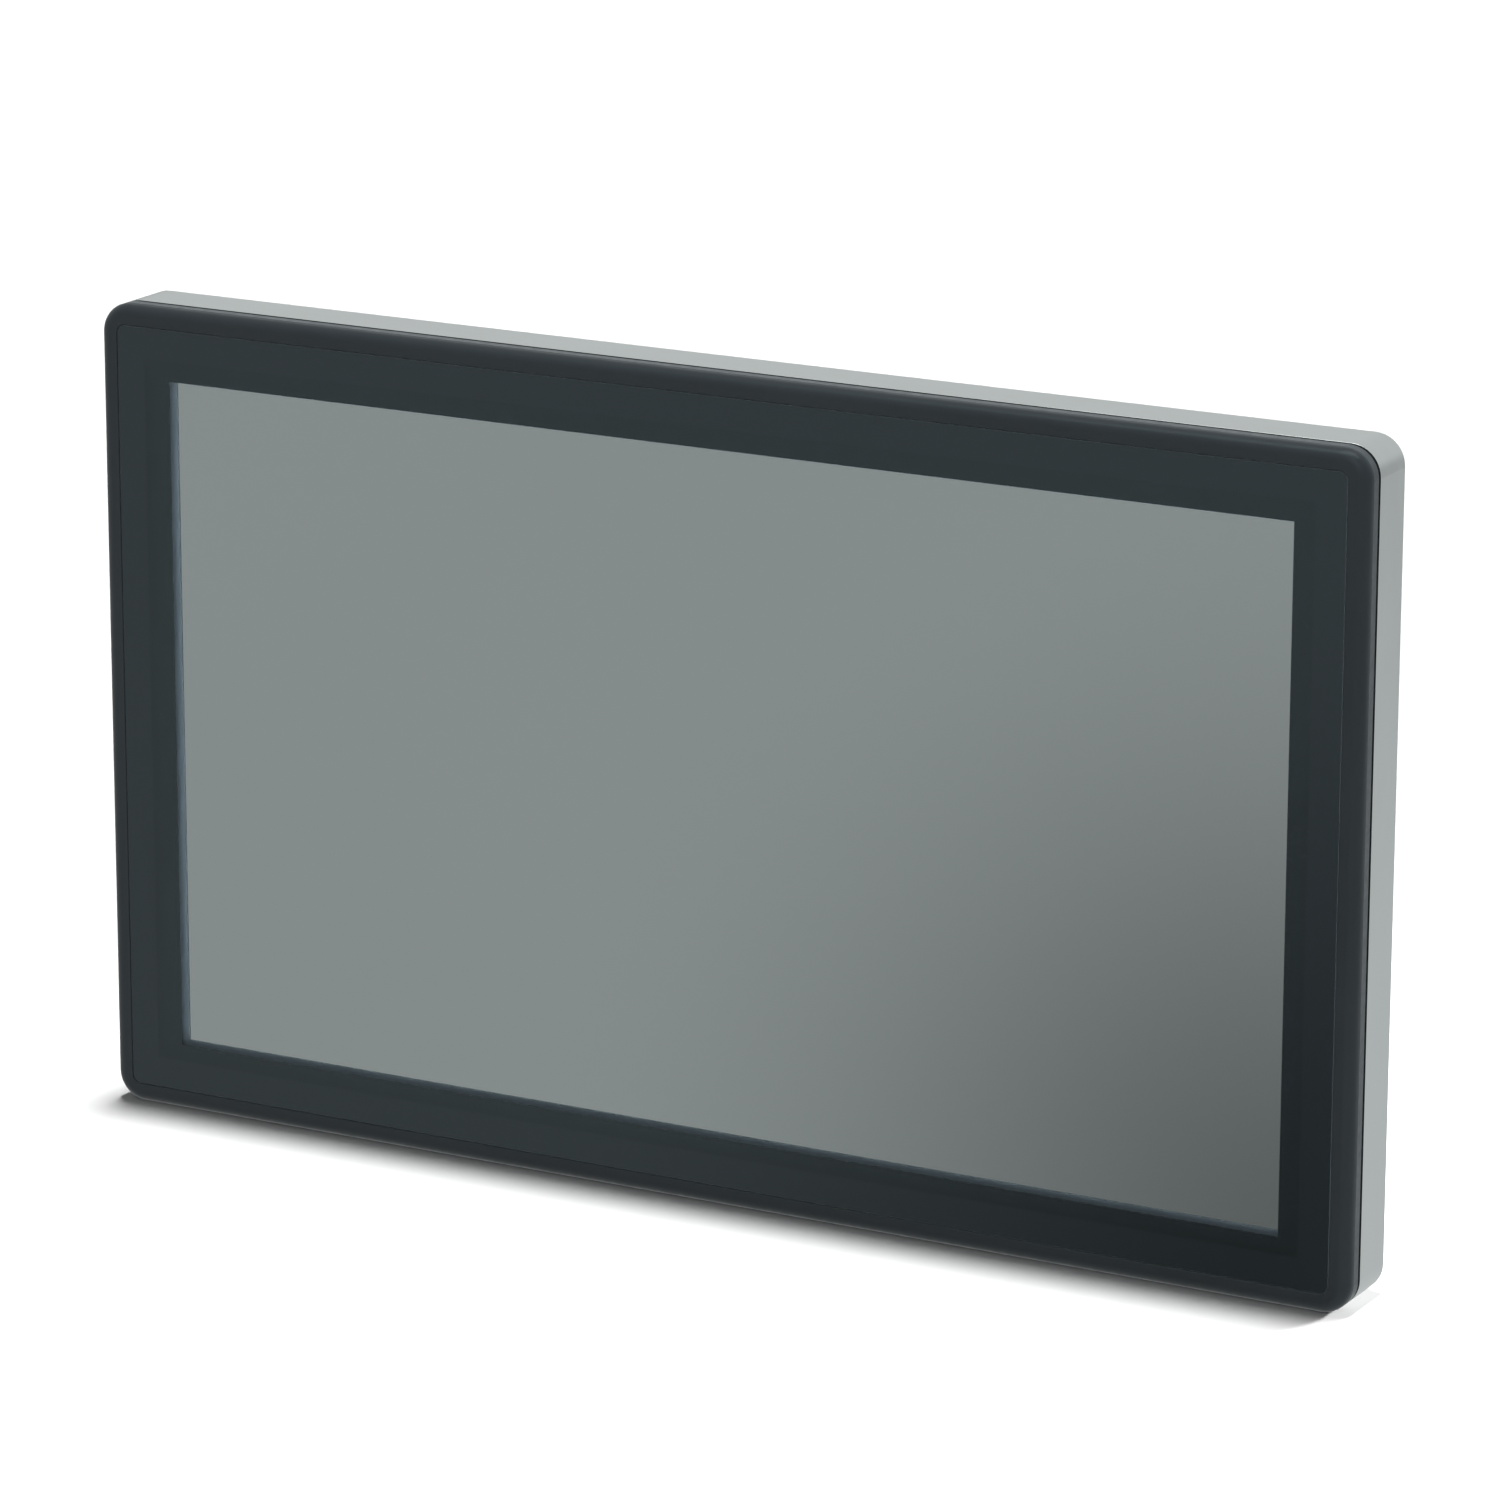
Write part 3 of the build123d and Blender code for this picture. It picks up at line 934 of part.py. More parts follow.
SEAL_GAP = 0.2
with BuildPart() as flap_seal:
    seal_x = (flap_x[1], -COVER_X - SEAL_GAP)
    block((seal_x[0], HINGE_DEPTH + 2.6, WINDOW_Z[0] - 3), (seal_x[1], WINDOW_DEPTH[1] + 2, WINDOW_Z[1] + 3))
    hole_low = (seal_x[0], HINGE_DEPTH + 3.8, WINDOW_Z[0] - 1.5)
    block(hole_low, (seal_x[1], WINDOW_DEPTH[1] + 0.8, WINDOW_Z[1] + 1.5), mode=Mode.SUBTRACT)
flap_seal.part.label = "flap_seal"
export_step(flap_seal.part, "parts/flap_seal.step")
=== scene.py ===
"""Looks for a flush-glass industrial touch panel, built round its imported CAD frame.

Lengths are in metres, Z is up and the screen faces -Y.
"""
import json
import math

import bmesh
import bpy
from mathutils import Matrix, Vector


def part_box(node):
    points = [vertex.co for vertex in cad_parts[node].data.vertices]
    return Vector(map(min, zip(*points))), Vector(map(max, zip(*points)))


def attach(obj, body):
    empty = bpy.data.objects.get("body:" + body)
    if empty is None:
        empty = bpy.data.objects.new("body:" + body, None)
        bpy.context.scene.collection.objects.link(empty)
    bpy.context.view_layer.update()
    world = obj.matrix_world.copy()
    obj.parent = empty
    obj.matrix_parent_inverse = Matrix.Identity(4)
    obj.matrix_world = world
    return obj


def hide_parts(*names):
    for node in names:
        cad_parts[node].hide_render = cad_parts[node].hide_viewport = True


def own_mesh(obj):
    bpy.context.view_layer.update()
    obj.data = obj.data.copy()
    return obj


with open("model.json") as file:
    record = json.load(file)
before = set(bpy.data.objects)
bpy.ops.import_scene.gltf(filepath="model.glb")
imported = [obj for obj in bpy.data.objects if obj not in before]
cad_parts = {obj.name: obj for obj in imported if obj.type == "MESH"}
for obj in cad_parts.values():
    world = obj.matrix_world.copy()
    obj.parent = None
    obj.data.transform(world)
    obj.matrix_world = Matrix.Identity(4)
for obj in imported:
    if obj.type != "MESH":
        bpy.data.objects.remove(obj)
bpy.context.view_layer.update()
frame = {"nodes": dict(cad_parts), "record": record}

MM = 0.001
nodes = frame["nodes"]
slot_of = {part["node"]: part["material_slot"] for part in frame["record"]["subparts"]}
DOWN_TO_UP, FRONT_TO_BACK = (0, 0, 1), (0, 1, 0)


# ---- shader helpers ---------------------------------------------------------------------------------------


def set_range(node, *numbers):
    """Sets a Map Range node: the lowest and highest value in, then the lowest and highest value out."""
    for name, number in zip(("From Min", "From Max", "To Min", "To Max"), numbers):
        node.inputs[name].default_value = number


class Shader:
    """A node material being built: short names for the few nodes that it needs."""

    def __init__(self, name):
        self.material = bpy.data.materials.new(name)
        self.material.use_nodes = True
        self.tree = self.material.node_tree
        self.surface = self.tree.nodes["Principled BSDF"]
        self.output = self.tree.nodes["Material Output"]
        self.place = self.tree.nodes.new("ShaderNodeTexCoord").outputs["Object"]

    def set(self, **values):
        """Sets the main shader's sockets, as Roughness=0.4; an underscore stands for a space."""
        for name, value in values.items():
            self.surface.inputs[name.replace("_", " ")].default_value = value
        return self

    def add(self, kind, **settings):
        node = self.tree.nodes.new(kind)
        for name, value in settings.items():
            setattr(node, name, value)
        return node

    def link(self, source, target):
        self.tree.links.new(source, target)

    def stretched(self, scale):
        """Object coordinates scaled along each axis, for grain that runs one way."""
        mapping = self.add("ShaderNodeMapping")
        mapping.inputs["Scale"].default_value = scale
        self.link(self.place, mapping.inputs["Vector"])
        return mapping.outputs["Vector"]

    def noise(self, scale, detail=2.0, place=None):
        node = self.add("ShaderNodeTexNoise")
        node.inputs["Scale"].default_value = scale
        node.inputs["Detail"].default_value = detail
        self.link(place or self.place, node.inputs["Vector"])
        return node.outputs["Fac"]

    def ranged(self, value, low, high, from_low=0.3, from_high=0.7):
        node = self.add("ShaderNodeMapRange")
        set_range(node, from_low, from_high, low, high)
        self.link(value, node.inputs["Value"])
        return node.outputs["Result"]

    def worked_out(self, operation, a, b=None):
        """The result of a Math node on one or two sockets or numbers."""
        node = self.add("ShaderNodeMath", operation=operation)
        for socket, value in zip(node.inputs, (a, b)):
            if isinstance(value, float):
                socket.default_value = value
            elif value is not None:
                self.link(value, socket)
        return node.outputs[0]

    def mixed(self, factor, a, b):
        """A colour between a and b."""
        node = self.add("ShaderNodeMix", data_type="RGBA")
        self.link(factor, node.inputs["Factor"])
        for socket, colour in (("A", a), ("B", b)):
            target = next(s for s in node.inputs if s.name == socket and s.type == "RGBA")
            if isinstance(colour, tuple):
                target.default_value = (*colour, 1.0)
            else:
                self.link(colour, target)
        return next(s for s in node.outputs if s.type == "RGBA")

    def colour(self, a, b, scale=40.0):
        """A base colour that wanders between two close shades."""
        patches = self.ranged(self.noise(scale, 3.0), 0.0, 1.0)
        self.link(self.mixed(patches, a, b), self.surface.inputs["Base Color"])
        return self

    def rough(self, low, high, scale=120.0, place=None):
        self.link(self.ranged(self.noise(scale, 3.0, place), low, high), self.surface.inputs["Roughness"])
        return self

    def bump(self, height, distance, strength=1.0):
        node = self.add("ShaderNodeBump")
        node.inputs["Strength"].default_value = strength
        node.inputs["Distance"].default_value = distance
        self.link(height, node.inputs["Height"])
        self.link(node.outputs["Normal"], self.surface.inputs["Normal"])
        return self


COOL = (0.8, 0.94, 1.0, 1.0)


def plastic(name, shade, other, roughness, grain=2600.0, depth=0.012 * MM):
    """Moulded plastic: two close shades, patchy sheen and a fine eroded texture."""
    s = Shader(name).set(Specular_Tint=COOL)
    s.colour(shade, other, 25.0).rough(roughness - 0.05, roughness + 0.06, 300.0)
    return s.bump(s.noise(grain, 2.0), depth).material


def powder_coat(name, shade, other, roughness=0.5, gloss=0.45):
    """Sprayed coating with an orange-peel surface."""
    s = Shader(name).set(Specular_IOR_Level=gloss, Specular_Tint=COOL)
    s.colour(shade, other, 18.0).rough(roughness - 0.06, roughness + 0.08, 500.0)
    return s.bump(s.noise(900.0, 2.0), 0.03 * MM, 0.6).material


def metal(name, shade, other, roughness, brushed=(1.0, 1.0, 1.0), grain=900.0, depth=0.003 * MM):
    """Bare metal with brushed or blasted grain, which runs along the axis where brushed is least."""
    s = Shader(name).set(Metallic=1.0)
    place = s.stretched(brushed)
    s.colour(shade, other, 22.0).rough(roughness - 0.06, roughness + 0.08, 60.0)
    return s.bump(s.noise(grain, 3.0, place), depth).material


def rubber(name, shade):
    s = Shader(name)
    s.colour(shade, tuple(1.6 * c for c in shade), 60.0).rough(0.7, 0.85, 200.0)
    return s.bump(s.noise(1500.0), 0.02 * MM).material


INK_SHADES = (0.0038, 0.0052, 0.0072), (0.0046, 0.006, 0.008)
INK_GLOSS = {"IOR": 1.62, "Specular_Tint": (0.74, 0.95, 1.0, 1.0)}
RIM = 9.0 * MM


def clear_sheet(name, tint, edge, rim=None):
    """A clear sheet with ground edges. What lies bonded behind it carries the gloss of its face.

    rim is the node whose front face looks inked along its outer edge, RIM wide, as refraction makes it look.
    """
    s = Shader(name).set(**INK_GLOSS)
    through = s.add("ShaderNodeBsdfTransparent")
    through.inputs["Color"].default_value = (*tint, 1.0)
    facing = s.add("ShaderNodeSeparateXYZ")
    s.link(s.add("ShaderNodeTexCoord").outputs["Normal"], facing.inputs[0])
    flat = s.worked_out("ABSOLUTE", facing.outputs["Y"])
    on_face = s.ranged(flat, 0.0, 1.0, 0.85, 0.9)
    ground = s.mixed(s.ranged(s.noise(90.0), 0.0, 1.0), edge, tuple(1.2 * c for c in edge))
    ink = s.mixed(s.ranged(s.noise(15.0, 3.0), 0.0, 1.0), *INK_SHADES)
    s.link(s.mixed(on_face, ground, ink), s.surface.inputs["Base Color"])
    s.link(s.ranged(on_face, 0.5, 0.04, 0.0, 1.0), s.surface.inputs["Roughness"])
    clear = on_face
    if rim:
        low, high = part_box(rim)
        at = s.add("ShaderNodeSeparateXYZ")
        s.link(s.place, at.inputs[0])
        behind = s.worked_out("GREATER_THAN", at.outputs["Y"], (low[1] + high[1]) / 2)
        for axis, start, end in (("X", low[0], high[0]), ("Z", low[2], high[2])):
            away = s.worked_out("ABSOLUTE", s.worked_out("SUBTRACT", at.outputs[axis], (start + end) / 2))
            inside = s.worked_out("LESS_THAN", away, (end - start) / 2 - RIM)
            inside = s.worked_out("MAXIMUM", inside, behind)
            clear = s.worked_out("MULTIPLY", clear, inside)
    mix = s.add("ShaderNodeMixShader")
    s.link(clear, mix.inputs[0])
    s.link(s.surface.outputs[0], mix.inputs[1])
    s.link(through.outputs[0], mix.inputs[2])
    s.link(mix.outputs[0], s.output.inputs["Surface"])
    return s.material


def printed_ink():
    """Black ink seen through the glass that it is printed on, with the gloss of the glass."""
    s = Shader("printed_ink").set(**INK_GLOSS)
    return s.colour(*INK_SHADES, 15.0).rough(0.03, 0.05, 30.0).material


def display_face():
    """Unlit display: a smooth grey-green half mirror."""
    s = Shader("display_face").set(Metallic=1.0)
    s.colour((0.379, 0.412, 0.418), (0.384, 0.417, 0.423), 6.0)
    return s.rough(0.05, 0.06, 30.0).material


def housing_metal():
    """Satin aluminium, linished round the rim, with handling smudges in its sheen."""
    s = Shader("housing_metal").set(Metallic=1.0)
    fine = s.noise(700.0, 3.0, s.stretched((0.03, 4.0, 1.0)))
    smudge = s.noise(28.0, 4.0, s.stretched((1.0, 2.5, 0.6)))
    s.link(s.mixed(s.ranged(smudge, 0.0, 1.0), (0.612, 0.646, 0.639), (0.664, 0.697, 0.691)),
           s.surface.inputs["Base Color"])
    s.link(s.ranged(smudge, 0.18, 0.26), s.surface.inputs["Roughness"])
    return s.bump(fine, 0.002 * MM).material


def circuit_board():
    """Green solder mask over copper tracks."""
    s = Shader("circuit_board").set(Roughness=0.35)
    tracks = s.add("ShaderNodeTexBrick")
    tracks.inputs["Scale"].default_value = 160.0
    tracks.inputs["Color1"].default_value = (0.01, 0.09, 0.035, 1.0)
    tracks.inputs["Color2"].default_value = (0.012, 0.11, 0.045, 1.0)
    tracks.inputs["Mortar"].default_value = (0.03, 0.2, 0.09, 1.0)
    tracks.inputs["Mortar Size"].default_value = 0.04
    turned = s.add("ShaderNodeMapping")
    turned.inputs["Rotation"].default_value = (math.pi / 2, 0.0, 0.0)
    s.link(s.place, turned.inputs["Vector"])
    s.link(turned.outputs["Vector"], tracks.inputs["Vector"])
    s.link(tracks.outputs["Color"], s.surface.inputs["Base Color"])
    return s.bump(s.noise(2000.0), 0.01 * MM).material


MATERIALS = {
    "black_frame": plastic("black_frame", (0.0098, 0.0129, 0.0158), (0.0119, 0.0156, 0.0186), 0.36),
    "black_casting": powder_coat("black_casting", (0.026, 0.033, 0.038), (0.032, 0.04, 0.045), 0.34, 0.8),
    "black_ink": printed_ink(),
    "cover_glass": clear_sheet("cover_glass", (0.98, 0.988, 0.986), (0.1, 0.125, 0.135), "cover_glass"),
    "sensor_film": clear_sheet("sensor_film", (0.99, 0.995, 0.99), (0.3, 0.33, 0.33)),
    "foam": rubber("foam", (0.012, 0.012, 0.012)),
    "lcd_frame": plastic("lcd_frame", (0.27, 0.345, 0.42), (0.285, 0.36, 0.435), 0.4, 3000.0, 0.002 * MM),
    "lcd_face": display_face(),
    "white_film": plastic("white_film", (0.75, 0.76, 0.76), (0.8, 0.81, 0.81), 0.4),
    "acrylic": plastic("acrylic", (0.7, 0.75, 0.77), (0.74, 0.78, 0.8), 0.1, 400.0, 0.002 * MM),
    "sheet_steel": metal("sheet_steel", (0.5, 0.51, 0.52), (0.58, 0.58, 0.57), 0.32, (0.2, 1.0, 1.0)),
    "circuit_board": circuit_board(),
    "flat_cable": plastic("flat_cable", (0.42, 0.2, 0.05), (0.47, 0.24, 0.06), 0.25, 500.0, 0.004 * MM),
    "seal_rubber": rubber("seal_rubber", (0.01, 0.01, 0.011)),
    "housing_metal": housing_metal(),
    "cover_paint": powder_coat("cover_paint", (0.2, 0.21, 0.215), (0.225, 0.235, 0.24), 0.42),
    "plate_aluminium": metal("plate_aluminium", (0.58, 0.59, 0.6), (0.64, 0.65, 0.66), 0.3,
                             brushed=(0.05, 1.0, 1.0), depth=0.0005 * MM),
    "heat_sink_metal": metal("heat_sink_metal", (0.5, 0.51, 0.52), (0.58, 0.59, 0.6), 0.34, (1.0, 1.0, 0.05)),
    "screw_steel": metal("screw_steel", (0.4, 0.4, 0.41), (0.5, 0.5, 0.5), 0.3),
    "nickel": metal("nickel", (0.56, 0.54, 0.5), (0.64, 0.62, 0.58), 0.24),
    "spring_steel": metal("spring_steel", (0.42, 0.42, 0.43), (0.5, 0.5, 0.51), 0.22),
    "stud_brass": metal("stud_brass", (0.66, 0.47, 0.2), (0.74, 0.56, 0.27), 0.26, (1.0, 1.0, 8.0)),
    "chip_plastic": plastic("chip_plastic", (0.02, 0.02, 0.022), (0.026, 0.026, 0.028), 0.6),
    "thermal_pad": rubber("thermal_pad", (0.25, 0.3, 0.36)),
    "socket_plastic": plastic("socket_plastic", (0.018, 0.018, 0.02), (0.024, 0.024, 0.026), 0.45),
    "inlet_plastic": plastic("inlet_plastic", (0.012, 0.12, 0.045), (0.016, 0.14, 0.055), 0.42),
    "switch_plastic": plastic("switch_plastic", (0.014, 0.014, 0.015), (0.018, 0.018, 0.019), 0.28),
    "button_plastic": plastic("button_plastic", (0.3, 0.02, 0.016), (0.35, 0.026, 0.02), 0.35),
    "vent_plastic": plastic("vent_plastic", (0.022, 0.022, 0.024), (0.028, 0.028, 0.03), 0.5),
}

for name, node in nodes.items():
    node.data.materials.clear()
    node.data.materials.append(MATERIALS[slot_of[name]])
# refraction hides the walls of the glass and of the ink from the faces that mirror the room behind them
for name in ("printed_border", "cover_glass"):
    nodes[name].visible_glossy = False


# ---- fine pieces ------------------------------------------------------------------------------------------

GILT = metal("gilt_contact", (0.83, 0.6, 0.24), (0.88, 0.66, 0.3), 0.24)
GREEN_LENS = plastic("green_lens", (0.03, 0.3, 0.08), (0.04, 0.34, 0.1), 0.15, 500.0, 0.002 * MM)
AMBER_LENS = plastic("amber_lens", (0.5, 0.2, 0.01), (0.55, 0.23, 0.015), 0.15, 500.0, 0.002 * MM)
WHITE_MARK = plastic("white_mark", (0.62, 0.63, 0.63), (0.68, 0.69, 0.69), 0.45)


class Fine:
    """A small piece being gathered from bars, bent strips, rings and threads. Sizes are in metres."""

    def __init__(self):
        self.bm = bmesh.new()

    def bar(self, low, high, soft=0.0):
        """A box between two corners with softened edges."""
        low, high = Vector(low), Vector(high)
        size = Matrix.Diagonal((*(high - low), 1.0))
        made = bmesh.ops.create_cube(self.bm, size=1.0, matrix=Matrix.Translation((low + high) / 2) @ size)
        if soft:
            edges = list({edge for vert in made["verts"] for edge in vert.link_edges})
            bmesh.ops.bevel(self.bm, geom=edges, offset=soft, segments=2, affect="EDGES")
        return self

    def swept(self, rows, closed):
        """Skins rows of points that all have the same length; a row is a closed outline."""
        rings = [[self.bm.verts.new(point) for point in row] for row in rows]
        count = len(rings[0])
        ends = zip(rings, rings[1:] + rings[:1]) if closed else zip(rings, rings[1:])
        for ring, after in ends:
            for i in range(count):
                self.bm.faces.new((ring[i], ring[(i + 1) % count], after[(i + 1) % count], after[i]))
        if not closed:
            self.bm.faces.new(rings[0][::-1])
            self.bm.faces.new(rings[-1])
        return self

    def strip(self, points, width, thick):
        """A flat spring bent along points in a plane of constant X."""
        rows = []
        for i, point in enumerate(points):
            before, after = points[max(i - 1, 0)], points[min(i + 1, len(points) - 1)]
            along = (Vector(after) - Vector(before)).normalized()
            side = Vector((width / 2, 0.0, 0.0))
            out = along.cross(side).normalized() * thick / 2
            corners = ((-1, -1), (1, -1), (1, 1), (-1, 1))
            rows.append([Vector(point) + a * side + b * out for a, b in corners])
        return self.swept(rows, False)

    def ring(self, centre, axis, inner, outer, length, steps=32):
        """A sleeve or washer that starts at centre and runs along axis."""
        turn = Vector((0.0, 0.0, 1.0)).rotation_difference(Vector(axis)).to_matrix()
        rows = []
        for i in range(steps):
            angle = math.tau * i / steps
            out = Vector((math.cos(angle), math.sin(angle), 0.0))
            corners = ((inner, 0.0), (outer, 0.0), (outer, length), (inner, length))
            rows.append([Vector(centre) + turn @ (r * out + Vector((0.0, 0.0, h))) for r, h in corners])
        return self.swept(rows, True)

    def thread(self, centre, axis, root, crest, pitch, length, steps=28):
        """A screw thread's ridge, from root radius to crest radius, along axis from centre."""
        turn = Vector((0.0, 0.0, 1.0)).rotation_difference(Vector(axis)).to_matrix()
        rows = []
        for i in range(int(length / pitch * steps)):
            angle = math.tau * i / steps
            out = Vector((math.cos(angle), math.sin(angle), 0.0))
            rise = pitch * i / steps
            profile = ((root, rise - 0.42 * pitch), (crest, rise), (root, rise + 0.42 * pitch))
            rows.append([Vector(centre) + turn @ (r * out + Vector((0.0, 0.0, h))) for r, h in profile])
        return self.swept(rows, False)

    def made(self, name, material, slot, body="panel", smooth=False):
        """Turns what was gathered into a piece that rides on a body."""
        bmesh.ops.recalc_face_normals(self.bm, faces=self.bm.faces[:])
        mesh = bpy.data.meshes.new(name)
        self.bm.to_mesh(mesh)
        self.bm.free()
        mesh.materials.append(material)
        for polygon in mesh.polygons:
            polygon.use_smooth = smooth
        piece = bpy.data.objects.new(name, mesh)
        bpy.context.scene.collection.objects.link(piece)
        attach(piece, body)
        return piece


def ends_of(name):
    low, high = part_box(name)
    return Vector(low), Vector(high)


JACK_W, JACK_WALL, JACK_MOUTH_D = 16 * MM, 2.2 * MM, 8.2 * MM
# one contact spring's bends, as distance in front of the socket's rear wall and height above its mouth
JACK_SPRING = ((-0.25, 12.6), (-0.25, 4.4), (-0.5, 3.6), (-1.0, 3.4), (-1.5, 3.9), (-4.4, 10.6))


def jack_middles():
    """The middle of each of the two network sockets along X."""
    low, high = ends_of("ethernet_ports")
    return low.x + JACK_W / 2, high.x - JACK_W / 2


def jack_contacts():
    """Eight spring wires in each network socket, bent back from the rear wall."""
    count, pitch, width, thick = 8, 1.02 * MM, 0.46 * MM, 0.24 * MM
    low = ends_of("ethernet_ports")[0]
    wall, mouth = low.y + JACK_WALL + JACK_MOUTH_D, low.z
    springs = Fine()
    for middle in jack_middles():
        for i in range(count):
            x = middle + (i - (count - 1) / 2) * pitch
            springs.strip([(x, wall + y * MM, mouth + z * MM) for y, z in JACK_SPRING], width, thick)
    springs.made("jack_contacts", GILT, "nickel")


def jack_lenses():
    """Two small indicator windows in the mouth of each network socket."""
    out_to_side, up_wall, size = 6.75 * MM, 10.9 * MM, 1.8 * MM
    proud, sunk, soft = 0.12 * MM, 0.3 * MM, 0.08 * MM
    low = ends_of("ethernet_ports")[0]
    near = low.y + up_wall
    for name, side, material in (("link_lenses", -1, GREEN_LENS), ("traffic_lenses", 1, AMBER_LENS)):
        lenses = Fine()
        for middle in jack_middles():
            left = middle + side * out_to_side - size / 2
            lenses.bar((left, near, low.z - proud), (left + size, near + size, low.z + sunk), soft)
        lenses.made(name, material, "socket_plastic")


def usb_contacts():
    """Four contact strips on each tongue."""
    half_port, width, soft = 5.5 * MM, 1.0 * MM, 0.04 * MM
    start, end = 0.7 * MM, 8.0 * MM
    proud, sunk = 0.1 * MM, 0.05 * MM
    low, high = ends_of("usb_tongues")
    blades = Fine()
    for middle in (low.x + half_port, high.x - half_port):
        for offset in (-3.5 * MM, -1.0 * MM, 1.0 * MM, 3.5 * MM):
            left = middle + offset - width / 2
            blades.bar((left, low.y - proud, low.z + start), (left + width, low.y + sunk, low.z + end), soft)
    blades.made("usb_contacts", GILT, "nickel")


def serial_sleeves():
    """Nine gilt sleeves in the serial socket, five over four."""
    pitch, row, bore, outside, depth, proud = 2.76 * MM, 1.4 * MM, 0.38 * MM, 0.6 * MM, 3.0 * MM, 0.04 * MM
    post_low, post_high = ends_of("serial_posts")
    middle = (post_low + post_high) / 2
    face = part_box("serial_port")[0][2]
    sleeves = Fine()
    for count, offset in ((5, row), (4, -row)):
        for i in range(count):
            x = middle.x + (i - (count - 1) / 2) * pitch
            sleeves.ring((x, middle.y + offset, face - proud), DOWN_TO_UP, bore, outside, depth, 20)
    sleeves.made("serial_sleeves", GILT, "nickel")


def stud_thread():
    """The thread on the earth stud, from its point to the nut."""
    root, crest, pitch, point, run_out = 2.44 * MM, 2.66 * MM, 0.8 * MM, 0.6 * MM, 1.2 * MM
    low, high = ends_of("earth_stud")
    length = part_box("earth_nut")[0][2] - run_out - low.z
    centre = ((low.x + high.x) / 2, (low.y + high.y) / 2, low.z + point)
    ridge = Fine().thread(centre, DOWN_TO_UP, root, crest, pitch, length - point)
    ridge.made("stud_thread", MATERIALS["stud_brass"], slot_of["earth_stud"], smooth=True)


def coil_spring():
    """The reset button's spring at its packed size."""
    wire, steps, sides, pitch, travel = 0.175 * MM, 24, 10, 1.0 * MM, 1.2 * MM
    low, high = ends_of("reset_spring")
    middle = (low + high) / 2
    radius = (high.x - low.x) / 2 - wire
    rows = []
    for i in range(int((high.z - low.z - 2 * wire) / pitch * steps) + 1):
        angle = math.tau * i / steps
        out = Vector((math.cos(angle), math.sin(angle), 0.0))
        centre = Vector((middle.x, middle.y, low.z + wire + pitch * i / steps)) + radius * out
        around = [math.tau * j / sides for j in range(sides)]
        rows.append([centre + wire * (math.cos(a) * out + Vector((0.0, 0.0, math.sin(a)))) for a in around])
    coil = Fine().swept(rows, False)
    piece = coil.made("coil_spring", MATERIALS["spring_steel"], slot_of["reset_spring"], smooth=True)
    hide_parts("reset_spring")
    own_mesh(piece)


def insert_threads():
    """The threads in the four bracket inserts."""
    rim, root, crest, pitch, lead_in = 3.6 * MM, 2.03 * MM, 1.74 * MM, 0.7 * MM, 0.5 * MM
    low, high = ends_of("vesa_inserts")
    length = high.y - low.y - 2 * lead_in
    ridges = Fine()
    for x in (low.x + rim, high.x - rim):
        for z in (low.z + rim, high.z - rim):
            ridges.thread((x, low.y + lead_in, z), FRONT_TO_BACK, root, crest, pitch, length)
    ridges.made("insert_threads", MATERIALS["nickel"], slot_of["vesa_inserts"], smooth=True)


ROCKER_PIVOT_UP, ROCKER_FACE_DOWN = 2.4 * MM, 1.2 * MM
ROCKER_HELD = math.radians(-9.0)
ROCKER_SLOPE = math.atan2(1.4, 8.25)
MARK_OUT, MARK_SUNK, MARK_PROUD = 4.3 * MM, 0.12 * MM, 0.05 * MM


def rocker_marks():
    """The on and off marks on the rocker's two faces, which slope away from its middle."""
    bar_half_w, bar_half_l, soft = 0.35 * MM, 1.6 * MM, 0.04 * MM
    ring_inner, ring_outer = 1.1 * MM, 1.6 * MM
    low, high = ends_of("power_rocker")
    body_low, body_high = ends_of("power_switch_body")
    pivot = Vector(((body_low.x + body_high.x) / 2, (low.y + high.y) / 2, body_low.z + ROCKER_PIVOT_UP))
    held = Matrix.Translation(pivot) @ Matrix.Rotation(ROCKER_HELD, 4, "Y")
    for name, side in (("on_mark", 1), ("off_mark", -1)):
        mark = Fine()
        if side > 0:
            mark.bar((-bar_half_w, -bar_half_l, -MARK_SUNK), (bar_half_w, bar_half_l, MARK_PROUD), soft)
        else:
            mark.ring((0.0, 0.0, -MARK_SUNK), DOWN_TO_UP, ring_inner, ring_outer, MARK_SUNK + MARK_PROUD)
        fall = ROCKER_FACE_DOWN + MARK_OUT * math.tan(ROCKER_SLOPE)
        tilt = Matrix.Rotation(side * ROCKER_SLOPE, 4, "Y")
        place = held @ Matrix.Translation((side * MARK_OUT, 0.0, -fall)) @ tilt
        bmesh.ops.transform(mark.bm, matrix=place, verts=mark.bm.verts[:])
        mark.made(name, WHITE_MARK, slot_of["power_rocker"], "rocker")


